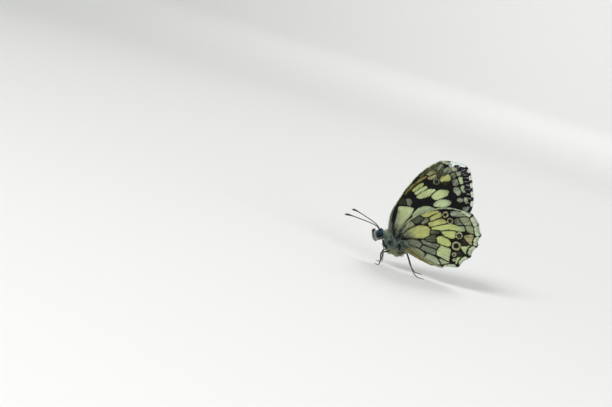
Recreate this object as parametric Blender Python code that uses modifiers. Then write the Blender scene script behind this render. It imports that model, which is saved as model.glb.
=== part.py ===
"""A marbled white butterfly at rest, wings closed over its back, as a still, life-size model.

Metres, +Z up. The head points along -X, the insect's left side faces -Y, and its feet stand on z = 0.
Lengths below are in millimetres and are turned to metres by MM where the meshes are made.
"""
import math

import bmesh
import bpy
from mathutils import Matrix, Vector
from mathutils.geometry import delaunay_2d_cdt

MM = 0.001

# The whole model is moved by this much along X so that its outline box is centred on the origin.
CENTRE_X = 5.96
CLEARANCE = 0.3

# Sides of the body: the left one faces the viewer.
SIDES = {"left": -1.0, "right": 1.0}

# A wing chart lies on the wing: s runs from the root to the wing's far end, t towards its hind margin.
MEMBRANE_THICKNESS = 0.5
RIDGE_HEIGHT = 0.1
RIDGE_BASE_HALF_WIDTH = 0.36
RIDGE_TIP_HALF_WIDTH = 0.24
VEIN_STEP = 1.5
MARGIN_STEP = 1.05
FILL_STEP = 2.2
MARGIN_KEEP = 0.3

FOREWING = {
    "root": (1.2, 8.7),
    "axis_deg": 62.6,
    "far_y": 0.55,
    "root_y": 1.5,
    "root_reach": 2.8,
    "root_power": 2.0,
    "belly_y": 0.0,
    "front": [(0.3, 0.5), (0.2, -0.7), (1.8, -2.6), (3.9, -4.3), (6.5, -5.4), (9.5, -6.1), (12.9, -6.6),
              (16.3, -6.8), (19.6, -6.5), (22.4, -5.7), (24.2, -4.8), (25.5, -2.1)],
    "vein_ends": [(25.5, -2.1), (27.5, -0.4), (27.9, 1.6), (27.3, 3.4), (26.1, 5.1), (24.6, 6.8),
                  (22.9, 8.8), (20.7, 10.4), (19.2, 10.7)],
    "scallops": [-0.15, -0.15, -0.1, 0.0, 0.0, -0.05, -0.05, -0.1],
    "hind": [(19.2, 10.7), (14.0, 8.0), (9.0, 5.3), (4.5, 2.6), (2.0, 1.1), (0.3, 0.5)],
    "veins": {
        "subcosta": [(0.6, -0.6), (2.7, -2.5), (5.6, -4.2), (9.6, -5.3), (14.2, -5.9), (18.5, -5.8), (22.0, -5.3)],
        "radius": [(0.7, -0.1), (3.4, -2.2), (6.6, -3.6), (10.7, -4.5), (14.3, -4.9), (17.3, -4.7), (18.5, -4.3)],
        "radius_1": [(14.6, -4.9), (18.8, -5.1), (21.9, -4.6), (24.3, -4.1)],
        "radius_2": [(17.0, -4.7), (20.6, -4.3), (23.6, -3.4), (25.5, -2.4)],
        "radius_4": [(18.5, -4.3), (21.4, -3.5), (24.1, -2.3), (27.7, -0.4)],
        "radius_5": [(24.1, -2.3), (26.2, -0.5), (28.0, 1.8)],
        "media_1": [(18.2, -3.9), (21.2, -2.2), (24.2, 0.1), (27.5, 3.5)],
        "media_2": [(17.3, -3.0), (19.4, -0.6), (22.6, 2.0), (26.2, 5.2)],
        "media_3": [(13.1, -1.7), (17.2, 0.0), (20.8, 2.6), (24.7, 6.8)],
        "cubitus_1": [(12.2, -1.6), (15.0, 0.9), (18.4, 4.3), (22.9, 8.9)],
        "cubitus_2": [(10.0, -1.2), (13.5, 2.4), (16.8, 5.9), (20.8, 10.4)],
        "cubitus": [(0.8, 0.1), (4.1, -0.1), (7.3, -0.6), (10.2, -1.2), (13.1, -1.7), (15.7, -2.2), (17.3, -3.0),
                    (18.5, -4.3)],
        "anal": [(1.1, 0.3), (4.6, 1.6), (9.3, 4.2), (14.3, 7.0), (19.2, 10.6)],
    },
}

HINDWING = {
    "root": (4.1, 8.4),
    "axis_deg": 19.4,
    "far_y": 1.55,
    "root_y": 0.9,
    "root_reach": 3.0,
    "root_power": 1.0,
    "belly_y": 0.3,
    "front": [(0.6, 1.0), (-0.1, 0.2), (-0.2, -1.2), (0.0, -2.6), (0.6, -3.8), (2.5, -5.8), (6.3, -7.6),
              (9.9, -8.4), (13.5, -8.5), (17.4, -7.5)],
    "vein_ends": [(17.4, -7.5), (19.7, -6.2), (21.2, -3.4), (21.8, -0.2), (20.8, 2.7), (18.7, 5.6),
                  (15.3, 8.1), (10.9, 7.7)],
    "scallops": [-0.1, -0.1, 0.05, 0.4, 0.35, 0.35, -0.1],
    "hind": [(10.9, 7.7), (8.1, 6.7), (5.1, 4.6), (2.4, 2.5), (0.6, 1.0)],
    "veins": {
        "subcosta": [(0.4, -1.0), (1.0, -3.6), (3.0, -5.5), (6.5, -7.1), (10.4, -7.8), (14.3, -8.0), (17.4, -7.4)],
        "radius": [(0.6, -0.7), (1.3, -2.7), (3.1, -4.1), (4.9, -4.6), (7.2, -4.4)],
        "radius_s": [(3.1, -4.2), (5.6, -5.6), (8.1, -6.4), (11.2, -7.1), (14.6, -7.2), (19.6, -6.2)],
        "media_1": [(7.2, -4.4), (8.2, -4.9), (10.9, -5.6), (13.7, -5.8), (16.7, -5.2), (20.6, -4.7)],
        "media_2": [(7.6, -3.8), (9.6, -3.9), (12.7, -4.2), (16.6, -3.9), (21.1, -3.4)],
        "media_3": [(8.5, -2.6), (13.2, -2.4), (15.4, -1.9), (18.5, -1.1), (21.7, -0.2)],
        "cubitus": [(0.8, -0.4), (2.2, -0.3), (5.6, -0.3), (7.8, -0.6), (9.1, -1.4), (8.5, -2.6), (7.2, -4.4)],
        "cubitus_1": [(9.1, -1.4), (10.9, -0.7), (13.6, 0.3), (17.4, 1.5), (20.7, 2.7)],
        "cubitus_2": [(6.1, -0.2), (8.3, 1.1), (10.5, 2.0), (13.0, 3.0), (16.3, 4.5), (18.6, 5.6)],
        "anal_1": [(0.9, 0.2), (2.8, 1.2), (5.2, 2.5), (8.4, 4.2), (10.6, 5.5), (13.0, 6.7), (15.2, 8.0)],
        "anal_2": [(1.2, 0.9), (2.9, 2.2), (5.4, 3.9), (7.9, 5.7), (10.8, 7.4)],
    },
}

# Body ellipsoids: centre (x, z), offset to each side, half sizes (x, y, z) and nose-up pitch in degrees.
THORAX_LUMPS = [
    ((0.0, 8.3), 0.0, (1.15, 1.25, 1.6), 20.0),
    ((1.6, 7.45), 0.0, (2.45, 1.75, 2.75), 12.0),
    ((3.6, 7.2), 0.0, (1.7, 1.5, 2.4), 12.0),
    ((-0.7, 9.9), 0.75, (0.42, 0.42, 1.5), 14.0),
    ((-0.1, 6.4), 0.55, (0.45, 0.4, 0.85), 20.0),
    ((1.5, 4.9), 0.75, (0.55, 0.5, 0.85), 10.0),
    ((3.5, 4.75), 0.8, (0.75, 0.5, 0.9), -15.0),
]
HEAD_CENTRE = (-2.4, 7.8)
HEAD_HALF = (0.9, 1.0, 1.32)
EYE_CENTRE = (-2.5, 8.1)
EYE_OUT = 0.98
EYE_HALF = (0.64, 0.42, 1.02)
EYE_TILT = 8.0

ABDOMEN_FRONT = (4.6, 6.9)
ABDOMEN_REAR = (14.4, 4.35)
ABDOMEN_HALF_WIDTH = 1.12
ABDOMEN_HALF_HEIGHT = 1.28
ABDOMEN_SEGMENTS = 7
SEGMENT_STEP = 0.07

# Tubes: points (x, outward y, z) and the tube's radius at each.
PALP = ([(-2.5, 0.44, 6.12), (-3.12, 0.48, 6.4), (-3.65, 0.5, 7.1), (-3.95, 0.48, 7.9), (-4.15, 0.44, 8.6)],
        [0.24, 0.28, 0.28, 0.26, 0.14])
PROBOSCIS = ([(-1.78, 0.0, 6.4), (-1.3, 0.0, 6.05), (-0.9, 0.0, 5.5), (-0.45, 0.0, 4.7), (-0.05, 0.0, 3.8),
              (0.2, 0.0, 2.9), (0.38, 0.0, 1.9), (0.4, 0.0, 1.1), (0.25, 0.0, 0.4)],
             [0.28, 0.27, 0.25, 0.25, 0.25, 0.25, 0.25, 0.25, 0.18])
ANTENNA = ([(-2.95, 0.42, 9.22), (-3.4, 0.65, 9.66), (-4.2, 1.25, 10.08), (-5.6, 2.25, 10.46), (-7.5, 3.6, 10.8),
            (-9.1, 4.75, 11.06), (-10.4, 5.65, 11.26), (-11.4, 6.35, 11.35), (-12.1, 6.8, 11.3), (-12.6, 7.1, 11.2)],
           [0.3, 0.25, 0.25, 0.25, 0.25, 0.25, 0.28, 0.36, 0.38, 0.2])
FORELEG = ([(-1.15, 1.25, 6.75), (-0.6, 1.42, 6.1), (0.0, 1.58, 5.5), (0.4, 1.68, 5.1), (0.65, 1.66, 4.8)],
           [0.18, 0.27, 0.28, 0.27, 0.2])
MIDLEG = ([(1.5, 1.85, 4.4), (0.95, 2.3, 4.25), (0.45, 2.8, 4.1), (0.08, 3.0, 3.75), (0.08, 3.05, 3.0),
           (0.18, 3.1, 2.2), (0.25, 3.1, 1.4), (0.22, 3.12, 0.75), (0.0, 3.15, 0.3), (-0.85, 3.2, 0.22)],
          [0.3, 0.34, 0.3, 0.26, 0.28, 0.26, 0.26, 0.26, 0.26, 0.2])
HINDLEG = ([(4.05, 1.85, 4.35), (4.7, 2.35, 4.75), (5.5, 2.8, 5.2), (6.4, 3.05, 5.5), (6.9, 3.1, 5.3),
            (7.7, 3.15, 4.1), (8.5, 3.2, 2.85), (9.25, 3.25, 1.7), (10.0, 3.3, 0.95), (10.75, 3.3, 0.45),
            (11.4, 3.35, 0.22), (12.2, 3.4, 0.22), (13.0, 3.45, 0.22)],
           [0.3, 0.36, 0.32, 0.28, 0.26, 0.28, 0.28, 0.26, 0.26, 0.26, 0.26, 0.26, 0.2])
TUBE_SPACING = 0.7
# How much further forward the right legs stand than the left ones.
RIGHT_LEG_FORWARD = {"midleg_": 0.35, "hindleg_": 1.3}


# Scene helpers
def clear_scene():
    for item in list(bpy.data.objects):
        bpy.data.objects.remove(item, do_unlink=True)


def new_collection(name):
    collection = bpy.data.collections.new(name)
    bpy.context.scene.collection.children.link(collection)
    return collection


def principled(name, colour, roughness):
    material = bpy.data.materials.new(name)
    material.use_nodes = True
    shader = material.node_tree.nodes["Principled BSDF"]
    shader.inputs["Base Color"].default_value = (*colour, 1.0)
    shader.inputs["Roughness"].default_value = roughness
    shader.inputs["Metallic"].default_value = 0.0
    return material


def mesh_object(name, mesh, collection):
    item = bpy.data.objects.new(name, mesh)
    collection.objects.link(item)
    return item


def object_from_bmesh(name, shape, collection):
    mesh = bpy.data.meshes.new(name)
    shape.to_mesh(mesh)
    shape.free()
    return mesh_object(name, mesh, collection)


def make_cutter(item):
    item.hide_render = True
    item.display_type = "WIRE"


def evaluated_mesh(item):
    bpy.context.view_layer.update()
    graph = bpy.context.evaluated_depsgraph_get()
    return bpy.data.meshes.new_from_object(item.evaluated_get(graph))


def bake_modifiers(item):
    """Keep the shape that the modifiers give, as the object's own mesh."""
    mesh = evaluated_mesh(item)
    item.modifiers.clear()
    item.data = mesh


def boolean(item, cutter, operation, solver="EXACT"):
    modifier = item.modifiers.new("Cut", "BOOLEAN")
    modifier.operation = operation
    modifier.object = cutter
    modifier.solver = solver
    bake_modifiers(item)


def union(name, pieces, collection):
    """One closed body from closed pieces that cross one another."""
    group = bpy.data.collections.new(name + "_pieces")
    for piece in pieces[1:]:
        group.objects.link(piece)
    modifier = pieces[0].modifiers.new("Union", "BOOLEAN")
    modifier.operation = "UNION"
    modifier.operand_type = "COLLECTION"
    modifier.collection = group
    joined = mesh_object(name, evaluated_mesh(pieces[0]), collection)
    for piece in pieces:
        bpy.data.objects.remove(piece, do_unlink=True)
    bpy.data.collections.remove(group)
    keep_largest_surface(joined)
    return joined


def keep_largest_surface(item):
    """Drop every closed surface but the one that takes up the most room."""
    shape = bmesh.new()
    shape.from_mesh(item.data)
    bmesh.ops.remove_doubles(shape, verts=shape.verts, dist=0.002 * MM)
    shape.verts.ensure_lookup_table()
    unseen = set(shape.verts)
    groups = []
    while unseen:
        stack = [unseen.pop()]
        group = set(stack)
        while stack:
            vert = stack.pop()
            for edge in vert.link_edges:
                other = edge.other_vert(vert)
                if other in unseen:
                    unseen.remove(other)
                    group.add(other)
                    stack.append(other)
        groups.append(group)
    largest = max(groups, key=box_diagonal)
    scraps = [vert for vert in shape.verts if vert not in largest]
    bmesh.ops.delete(shape, geom=scraps, context="VERTS")
    bmesh.ops.recalc_face_normals(shape, faces=shape.faces)
    shape.to_mesh(item.data)
    shape.free()


def box_diagonal(verts):
    lows = [min(vert.co[axis] for vert in verts) for axis in range(3)]
    highs = [max(vert.co[axis] for vert in verts) for axis in range(3)]
    return (Vector(highs) - Vector(lows)).length


def finish(item, material, smooth_deg=40.0):
    item.data.materials.clear()
    item.data.materials.append(material)
    item.data.shade_smooth()
    item.data.set_sharp_from_angle(angle=math.radians(smooth_deg))


# Curves through points
def spline_point(a, b, c, d, u):
    """Catmull-Rom point between b and c."""
    return tuple(0.5 * (2 * q + (r - p) * u + (2 * p - 5 * q + 4 * r - s) * u * u + (3 * q - p - 3 * r + s) * u ** 3)
                 for p, q, r, s in zip(a, b, c, d))


def smooth_line(points, step):
    """Points about step apart along a smooth curve through the given ones."""
    line = [tuple(points[0])]
    for index in range(len(points) - 1):
        b, c = points[index], points[index + 1]
        a = points[index - 1] if index else tuple(2 * p - q for p, q in zip(b, c))
        d = points[index + 2] if index + 2 < len(points) else tuple(2 * q - p for p, q in zip(b, c))
        count = max(1, round(math.dist(b[:3], c[:3]) / step))
        line += [spline_point(a, b, c, d, (k + 1) / count) for k in range(count)]
    return line


# Wings
def wing_outline(wing):
    """The closed outline on the chart: smooth front edge, scalloped margin, smooth hind edge."""
    front = smooth_line(wing["front"], MARGIN_STEP)
    margin = []
    ends = wing["vein_ends"]
    for start, stop, dip in zip(ends, ends[1:], wing["scallops"]):
        along = Vector(stop) - Vector(start)
        inward = Vector((-along.y, along.x)).normalized()
        count = max(2, round(along.length / MARGIN_STEP))
        for k in range(1, count + 1):
            place = Vector(start) + along * (k / count) + inward * dip * math.sin(math.pi * k / count)
            margin.append((place.x, place.y))
    hind = smooth_line(wing["hind"], MARGIN_STEP)
    return front + margin + hind[1:-1]


def inside(point, outline):
    x, y = point
    odd = False
    for (ax, ay), (bx, by) in zip(outline, outline[1:] + outline[:1]):
        if (ay > y) != (by > y) and x < ax + (y - ay) * (bx - ax) / (by - ay):
            odd = not odd
    return odd


def distance_to_line(point, line, closed=False):
    """Shortest distance from a chart point to a line of points, and how far along it that is (0 to 1)."""
    ends = line[1:] + line[:1] if closed else line[1:]
    best, along = 1e9, 0.0
    px, py = point
    for index, ((ax, ay), (bx, by)) in enumerate(zip(line, ends)):
        dx, dy = bx - ax, by - ay
        u = max(0.0, min(1.0, ((px - ax) * dx + (py - ay) * dy) / max(dx * dx + dy * dy, 1e-12)))
        gap = math.hypot(px - ax - u * dx, py - ay - u * dy)
        if gap < best:
            best, along = gap, (index + u) / len(ends)
    return best, along


def chart_to_world(wing, s, t):
    angle = math.radians(wing["axis_deg"])
    x = wing["root"][0] + s * math.cos(angle) + t * math.sin(angle)
    z = wing["root"][1] + s * math.sin(angle) - t * math.cos(angle)
    return x, z


def middle_y(wing, s, t):
    """How far the wing's middle surface stands out from the body's middle plane."""
    spread = wing["root_y"] * math.exp(-(math.hypot(s, t) / wing["root_reach"]) ** wing["root_power"])
    x, z = chart_to_world(wing, s, t)
    (ax, az), (bx, bz) = ABDOMEN_FRONT, ABDOMEN_REAR
    gap, _ = distance_to_line((x, z), [(ax, az), (bx, bz)])
    belly = wing["belly_y"] * max(0.0, min(1.0, (3.4 - gap) / 1.6))
    return wing["far_y"] + spread + belly


def ridge_half_width(along):
    return RIDGE_BASE_HALF_WIDTH + (RIDGE_TIP_HALF_WIDTH - RIDGE_BASE_HALF_WIDTH) * along


def half_thickness(point, veins, outline):
    """Half the membrane's thickness, raised to a ridge over each vein and level again at the margin."""
    raised = 0.0
    for vein in veins:
        gap, along = distance_to_line(point, vein)
        raised = max(raised, 1.0 - gap / ridge_half_width(along))
    margin, _ = distance_to_line(point, outline, closed=True)
    return MEMBRANE_THICKNESS / 2 + RIDGE_HEIGHT * raised * min(1.0, margin / MARGIN_KEEP)


def wing_chart_mesh(wing):
    """Triangles over the chart that follow the outline and both edges and the crest of every vein."""
    outline = wing_outline(wing)
    points = [Vector(point) for point in outline]
    edges = [(k, (k + 1) % len(outline)) for k in range(len(outline))]
    veins = [smooth_line(vein, VEIN_STEP) for vein in wing["veins"].values()]

    def add_point(place):
        if not inside(place, outline) or distance_to_line(place, outline, closed=True)[0] < MARGIN_KEEP:
            return None
        for index in range(len(outline), len(points)):
            if (points[index] - Vector(place)).length < 0.16:
                return index
        points.append(Vector(place))
        return len(points) - 1

    for vein in veins:
        for side in (0.0, 1.0, -1.0):
            last = None
            for index, place in enumerate(vein):
                before, after = vein[max(0, index - 1)], vein[min(len(vein) - 1, index + 1)]
                along = (Vector(after) - Vector(before)).normalized()
                out = side * ridge_half_width(index / (len(vein) - 1))
                current = add_point((place[0] - along.y * out, place[1] + along.x * out))
                if last is not None and current is not None and last != current:
                    edges.append((last, current))
                last = current
    low_s, high_s = min(p[0] for p in outline), max(p[0] for p in outline)
    low_t, high_t = min(p[1] for p in outline), max(p[1] for p in outline)
    for i in range(int((high_s - low_s) / FILL_STEP) + 1):
        for j in range(int((high_t - low_t) / FILL_STEP) + 1):
            place = (low_s + (i + 0.5 * (j % 2)) * FILL_STEP, low_t + j * FILL_STEP)
            if not inside(place, outline) or distance_to_line(place, outline, closed=True)[0] < 0.8:
                continue
            if min(distance_to_line(place, vein)[0] for vein in veins) > 0.9:
                points.append(Vector(place))
    verts, _, faces, *_ = delaunay_2d_cdt(points, edges, [], 0, 0.02)
    kept = []
    for face in faces:
        middle = sum((verts[k] for k in face), Vector((0.0, 0.0))) / len(face)
        if inside(middle, outline):
            kept.append(face)
    heights = [half_thickness(vert, veins, outline) for vert in verts]
    return verts, kept, heights


def build_wing(name, wing, chart, side, clear_of, collection, material):
    verts, faces, heights = chart
    shape = bmesh.new()
    layers = []
    for face_side in (1.0, -1.0):
        layer = []
        for vert, height in zip(verts, heights):
            x, z = chart_to_world(wing, vert.x, vert.y)
            y = side * (middle_y(wing, vert.x, vert.y) + face_side * height)
            layer.append(shape.verts.new((x * MM, y * MM, z * MM)))
        layers.append(layer)
    counts = {}
    for face in faces:
        shape.faces.new([layers[0][k] for k in face])
        shape.faces.new([layers[1][k] for k in reversed(face)])
        for a, b in zip(face, face[1:] + face[:1]):
            counts[(a, b)] = counts.get((a, b), 0) + 1
    for a, b in counts:
        if (b, a) not in counts:
            shape.faces.new([layers[0][b], layers[0][a], layers[1][a], layers[1][b]])
    loose = [vert for vert in shape.verts if not vert.link_faces]
    bmesh.ops.delete(shape, geom=loose, context="VERTS")
    bmesh.ops.recalc_face_normals(shape, faces=shape.faces)
    bmesh.ops.triangulate(shape, faces=[face for face in shape.faces if len(face.verts) > 3])
    item = object_from_bmesh(name, shape, collection)
    boolean(item, clear_of, "DIFFERENCE")
    keep_largest_surface(item)
    finish(item, material)
    return item


# Body
def ellipsoid(name, centre, half, pitch_deg, collection, segments=20, rings=12):
    shape = bmesh.new()
    bmesh.ops.create_uvsphere(shape, u_segments=segments, v_segments=rings, radius=1.0)
    turn = Matrix.Rotation(math.radians(pitch_deg), 4, "Y")
    size = Matrix.Diagonal((half[0] * MM, half[1] * MM, half[2] * MM, 1.0))
    place = Matrix.Translation(Vector(centre) * MM)
    bmesh.ops.transform(shape, matrix=place @ turn @ size, verts=shape.verts)
    return object_from_bmesh(name, shape, collection)


def thorax_body(name, extra, collection, segments=20, rings=12):
    lumps = []
    for (x, z), out, half, pitch in THORAX_LUMPS:
        for side in ((0.0,) if out == 0.0 else (-1.0, 1.0)):
            grown = tuple(size + extra for size in half)
            lumps.append(ellipsoid("lump", (x, side * out, z), grown, pitch, collection, segments, rings))
    return union(name, lumps, collection)


def build_head(collection, cutters, material):
    head = ellipsoid("head", (HEAD_CENTRE[0], 0.0, HEAD_CENTRE[1]), HEAD_HALF, 0.0, collection, 28, 18)
    for side in SIDES.values():
        socket = eye_ball("socket", side, CLEARANCE, cutters)
        boolean(head, socket, "DIFFERENCE")
        bpy.data.objects.remove(socket, do_unlink=True)
    keep_largest_surface(head)
    finish(head, material)
    return head


def eye_ball(name, side, extra, collection):
    centre = (EYE_CENTRE[0], side * EYE_OUT, EYE_CENTRE[1])
    return ellipsoid(name, centre, tuple(size + extra for size in EYE_HALF), EYE_TILT, collection, 24, 16)


def abdomen_radius(u):
    """Radius along the abdomen, 0 at the front and 1 at the rear, with a step at each segment."""
    swell = (1.0 - 0.55 * u ** 2.6) * (0.72 + 0.28 * min(1.0, u / 0.18))
    round_off = math.sqrt(max(0.0, 1.0 - max(0.0, (u - 0.9) / 0.1) ** 2))
    return swell * round_off - SEGMENT_STEP * ((u * ABDOMEN_SEGMENTS) % 1.0 > 0.86) * (u < 0.88)


def build_abdomen(collection, clear_of, material):
    """A turned profile laid along the body, a little taller than wide."""
    (ax, az), (bx, bz) = ABDOMEN_FRONT, ABDOMEN_REAR
    length = math.dist(ABDOMEN_FRONT, ABDOMEN_REAR)
    stations = [0.0, 0.03, 0.09]
    for k in range(1, ABDOMEN_SEGMENTS):
        stations += [(k - 0.12) / ABDOMEN_SEGMENTS, (k - 0.03) / ABDOMEN_SEGMENTS, (k + 0.02) / ABDOMEN_SEGMENTS,
                     (k + 0.45) / ABDOMEN_SEGMENTS]
    stations = [u for u in stations if u < 0.9] + [0.9, 0.94, 0.97, 0.99, 1.0]
    profile = [(0.0, length / 2)]
    profile += [(max(0.0, abdomen_radius(u)), length * (0.5 - u)) for u in stations[:-1]]
    profile.append((0.0, -length / 2))
    mesh = bpy.data.meshes.new("abdomen")
    mesh.from_pydata([(r * MM, 0.0, z * MM) for r, z in profile], [(k, k + 1) for k in range(len(profile) - 1)], [])
    item = mesh_object("abdomen", mesh, collection)
    screw = item.modifiers.new("Turn", "SCREW")
    screw.axis = "Z"
    screw.angle = 2 * math.pi
    screw.steps = 20
    screw.render_steps = 20
    screw.use_merge_vertices = True
    screw.merge_threshold = 0.00001
    screw.use_normal_calculate = False
    bake_modifiers(item)
    pitch = math.atan2(az - bz, bx - ax)
    turn = Matrix.Rotation(pitch - math.pi / 2, 4, "Y")
    size = Matrix.Diagonal((ABDOMEN_HALF_HEIGHT, ABDOMEN_HALF_WIDTH, 1.0, 1.0))
    place = Matrix.Translation(Vector(((ax + bx) / 2, 0.0, (az + bz) / 2)) * MM)
    item.data.transform(place @ turn @ size)
    keep_largest_surface(item)
    boolean(item, clear_of, "DIFFERENCE")
    keep_largest_surface(item)
    finish(item, material)
    return item


def tube(name, points, radii, side, collection):
    """A tapering tube through smooth points, closed at both ends."""
    rows = [(x, side * y, z, radius) for (x, y, z), radius in zip(points, radii)]
    line = smooth_line(rows, TUBE_SPACING)
    curve = bpy.data.curves.new(name, "CURVE")
    curve.dimensions = "3D"
    curve.bevel_depth = MM
    curve.bevel_resolution = 2
    curve.use_fill_caps = True
    spline = curve.splines.new("POLY")
    spline.points.add(len(line) - 1)
    for point, (x, y, z, radius) in zip(spline.points, line):
        point.co = (x * MM, y * MM, z * MM, 1.0)
        point.radius = radius
    guide = bpy.data.objects.new(name + "_line", curve)
    collection.objects.link(guide)
    mesh = evaluated_mesh(guide)
    item = mesh_object(name, mesh, collection)
    bpy.data.objects.remove(guide, do_unlink=True)
    keep_largest_surface(item)
    return item


def floor_block(cutters):
    shape = bmesh.new()
    bmesh.ops.create_cube(shape, size=1.0)
    scale = Matrix.Diagonal((60 * MM, 40 * MM, 4 * MM, 1.0))
    bmesh.ops.transform(shape, matrix=Matrix.Translation((0.0, 0.0, -2 * MM)) @ scale, verts=shape.verts)
    item = object_from_bmesh("floor_block", shape, cutters)
    make_cutter(item)
    return item


def build_pairs(collection, cutters, materials):
    floor = floor_block(cutters)
    for word, side in SIDES.items():
        finish(eye_ball("eye_" + word, side, 0.0, collection), materials["eye"])
        finish(tube("palp_" + word, *PALP, side, collection), materials["coat"])
        finish(tube("antenna_" + word, *ANTENNA, side, collection), materials["antenna"])
        finish(tube("foreleg_" + word, *FORELEG, side, collection), materials["leg"])
        for name, (points, radii) in (("midleg_", MIDLEG), ("hindleg_", HINDLEG)):
            forward = RIGHT_LEG_FORWARD[name] if side > 0 else 0.0
            stepped = [(x - forward * min(1.0, index / 4), y, z) for index, (x, y, z) in enumerate(points)]
            leg = tube(name + word, stepped, radii, side, collection)
            boolean(leg, floor, "DIFFERENCE")
            keep_largest_surface(leg)
            finish(leg, materials["leg"])


def main():
    clear_scene()
    body = new_collection("marbled_white")
    cutters = new_collection("cutters")
    materials = {
        "coat": principled("grey_black_coat", (0.09, 0.1, 0.08), 0.9),
        "abdomen": principled("ochre_abdomen", (0.22, 0.2, 0.09), 0.85),
        "eye": principled("dark_eye", (0.02, 0.012, 0.02), 0.2),
        "antenna": principled("brown_antenna", (0.08, 0.06, 0.03), 0.6),
        "leg": principled("ochre_leg", (0.12, 0.1, 0.06), 0.6),
        "proboscis": principled("grey_proboscis", (0.2, 0.16, 0.14), 0.5),
        "wing": principled("cream_wing", (0.66, 0.68, 0.48), 0.8),
    }
    finish(thorax_body("thorax", 0.0, body), materials["coat"])
    clear_of_thorax = thorax_body("thorax_clearance", CLEARANCE, cutters)
    make_cutter(clear_of_thorax)
    build_abdomen(body, clear_of_thorax, materials["abdomen"])
    build_head(body, cutters, materials["coat"])
    finish(tube("proboscis", *PROBOSCIS, 1.0, body), materials["proboscis"])
    build_pairs(body, cutters, materials)
    for name, wing in (("forewing_", FOREWING), ("hindwing_", HINDWING)):
        chart = wing_chart_mesh(wing)
        for word, side in SIDES.items():
            build_wing(name + word, wing, chart, side, clear_of_thorax, body, materials["wing"])
    for item in body.objects:
        item.data.transform(Matrix.Translation((-CENTRE_X * MM, 0.0, 0.0)))


main()
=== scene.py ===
"""Looks of a marbled white butterfly that rests with its wings closed over its back.

Numbers in the tables below are millimetres in the frame of the part's source, with the head towards -X and
the insect's left side towards -Y. MM turns them to metres and CENTRE_X moves them, as the source does.
"""
import functools
import math

import bmesh
import bpy
import numpy as np
from mathutils import Matrix, Vector


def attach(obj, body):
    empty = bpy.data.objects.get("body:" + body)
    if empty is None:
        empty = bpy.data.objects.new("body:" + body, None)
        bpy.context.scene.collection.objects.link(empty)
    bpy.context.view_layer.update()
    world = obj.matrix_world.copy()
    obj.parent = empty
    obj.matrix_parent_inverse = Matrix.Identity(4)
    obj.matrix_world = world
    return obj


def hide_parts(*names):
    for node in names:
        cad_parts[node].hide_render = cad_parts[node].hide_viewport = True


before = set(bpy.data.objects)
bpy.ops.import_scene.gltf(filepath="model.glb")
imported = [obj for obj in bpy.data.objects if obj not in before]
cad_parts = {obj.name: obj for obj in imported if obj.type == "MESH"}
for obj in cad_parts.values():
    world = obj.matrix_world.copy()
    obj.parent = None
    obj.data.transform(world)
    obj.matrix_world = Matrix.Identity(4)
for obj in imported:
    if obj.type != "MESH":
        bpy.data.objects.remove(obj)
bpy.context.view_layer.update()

bl_info = {
    "name": "Marbled white butterfly",
    "version": (1, 0, 0),
    "blender": (4, 5, 0),
    "location": "3D View > Sidebar > Butterfly",
    "description": "Wings, coat, feelers and legs of a resting butterfly, and the stage it stands on",
    "category": "Object",
}

MM = 0.001
CENTRE_X = 5.96
SIDES = {"left": -1.0, "right": 1.0}
# Seeds of the random draws of each kind of hair.
SEEDS = {"thorax": 7, "head": 8, "abdomen": 9, "wing_bases": 10, "fringe": 11, "spurs": 12, "palp": 13,
         "collar": 14, "inner_margin": 15, "shoulder": 16, "leg": 17}

# Colours as they look on a screen, from 0 to 255.
TONES = {
    "cream": (165, 177, 127),
    "pale": (162, 177, 136),
    "yellow": (156, 158, 97),
    "streak": (161, 170, 107),
    "moss": (124, 130, 98),
    "sand": (130, 128, 90),
    "ochre": (116, 108, 62),
    "bark": (74, 74, 52),
    "grey": (100, 106, 88),
    "slate": (68, 72, 56),
    "rim": (124, 135, 113),
    "mist": (138, 148, 118),
    "border": (166, 177, 150),
    "white": (222, 232, 226),
    "ring": (146, 145, 108),
    "ink": (9, 9, 10),
    "soot": (36, 36, 25),
    "upper_white": (222, 222, 200),
}
INK_TONES = ("slate", "grey", "sand", "ochre", "bark", "soot", "moss")
# Shade of a mark against the distance in from its edge, and how fine the streaks are that run out from the
# root.
SHADE_IN_MARK = ([0.1, 0.35, 0.9], [0.82, 0.99, 1.05])
STREAKS_PER_RADIAN = 38.0
STREAKS_PER_MM = 0.35
# How far round a mark its distance is kept, the side of a tuft's patch on its unwrap for baking, a tuft's
# thickness against its width, and how far apart the points of a wing's edge lie.
MARK_REACH = 1.2
TUFT_PATCH = 0.003
TUFT_FLATNESS = 0.6
CURVE_STEP = 0.1
# Thickness of the flat square plate a wing is bent from, whose sides are 1.
PLATE = 0.1
# How far from its root the front edge of a forewing has long hair.
SHOULDER_MM = 7.5
# The part of its unwrap for baking that a wing's outer faces take, its shift, and that of the inner faces.
CHART_PART = (0.96, 0.49)
CHART_SHIFT = (0.01, 0.0)
INNER_SHIFT = (0.0, 0.5)

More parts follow.
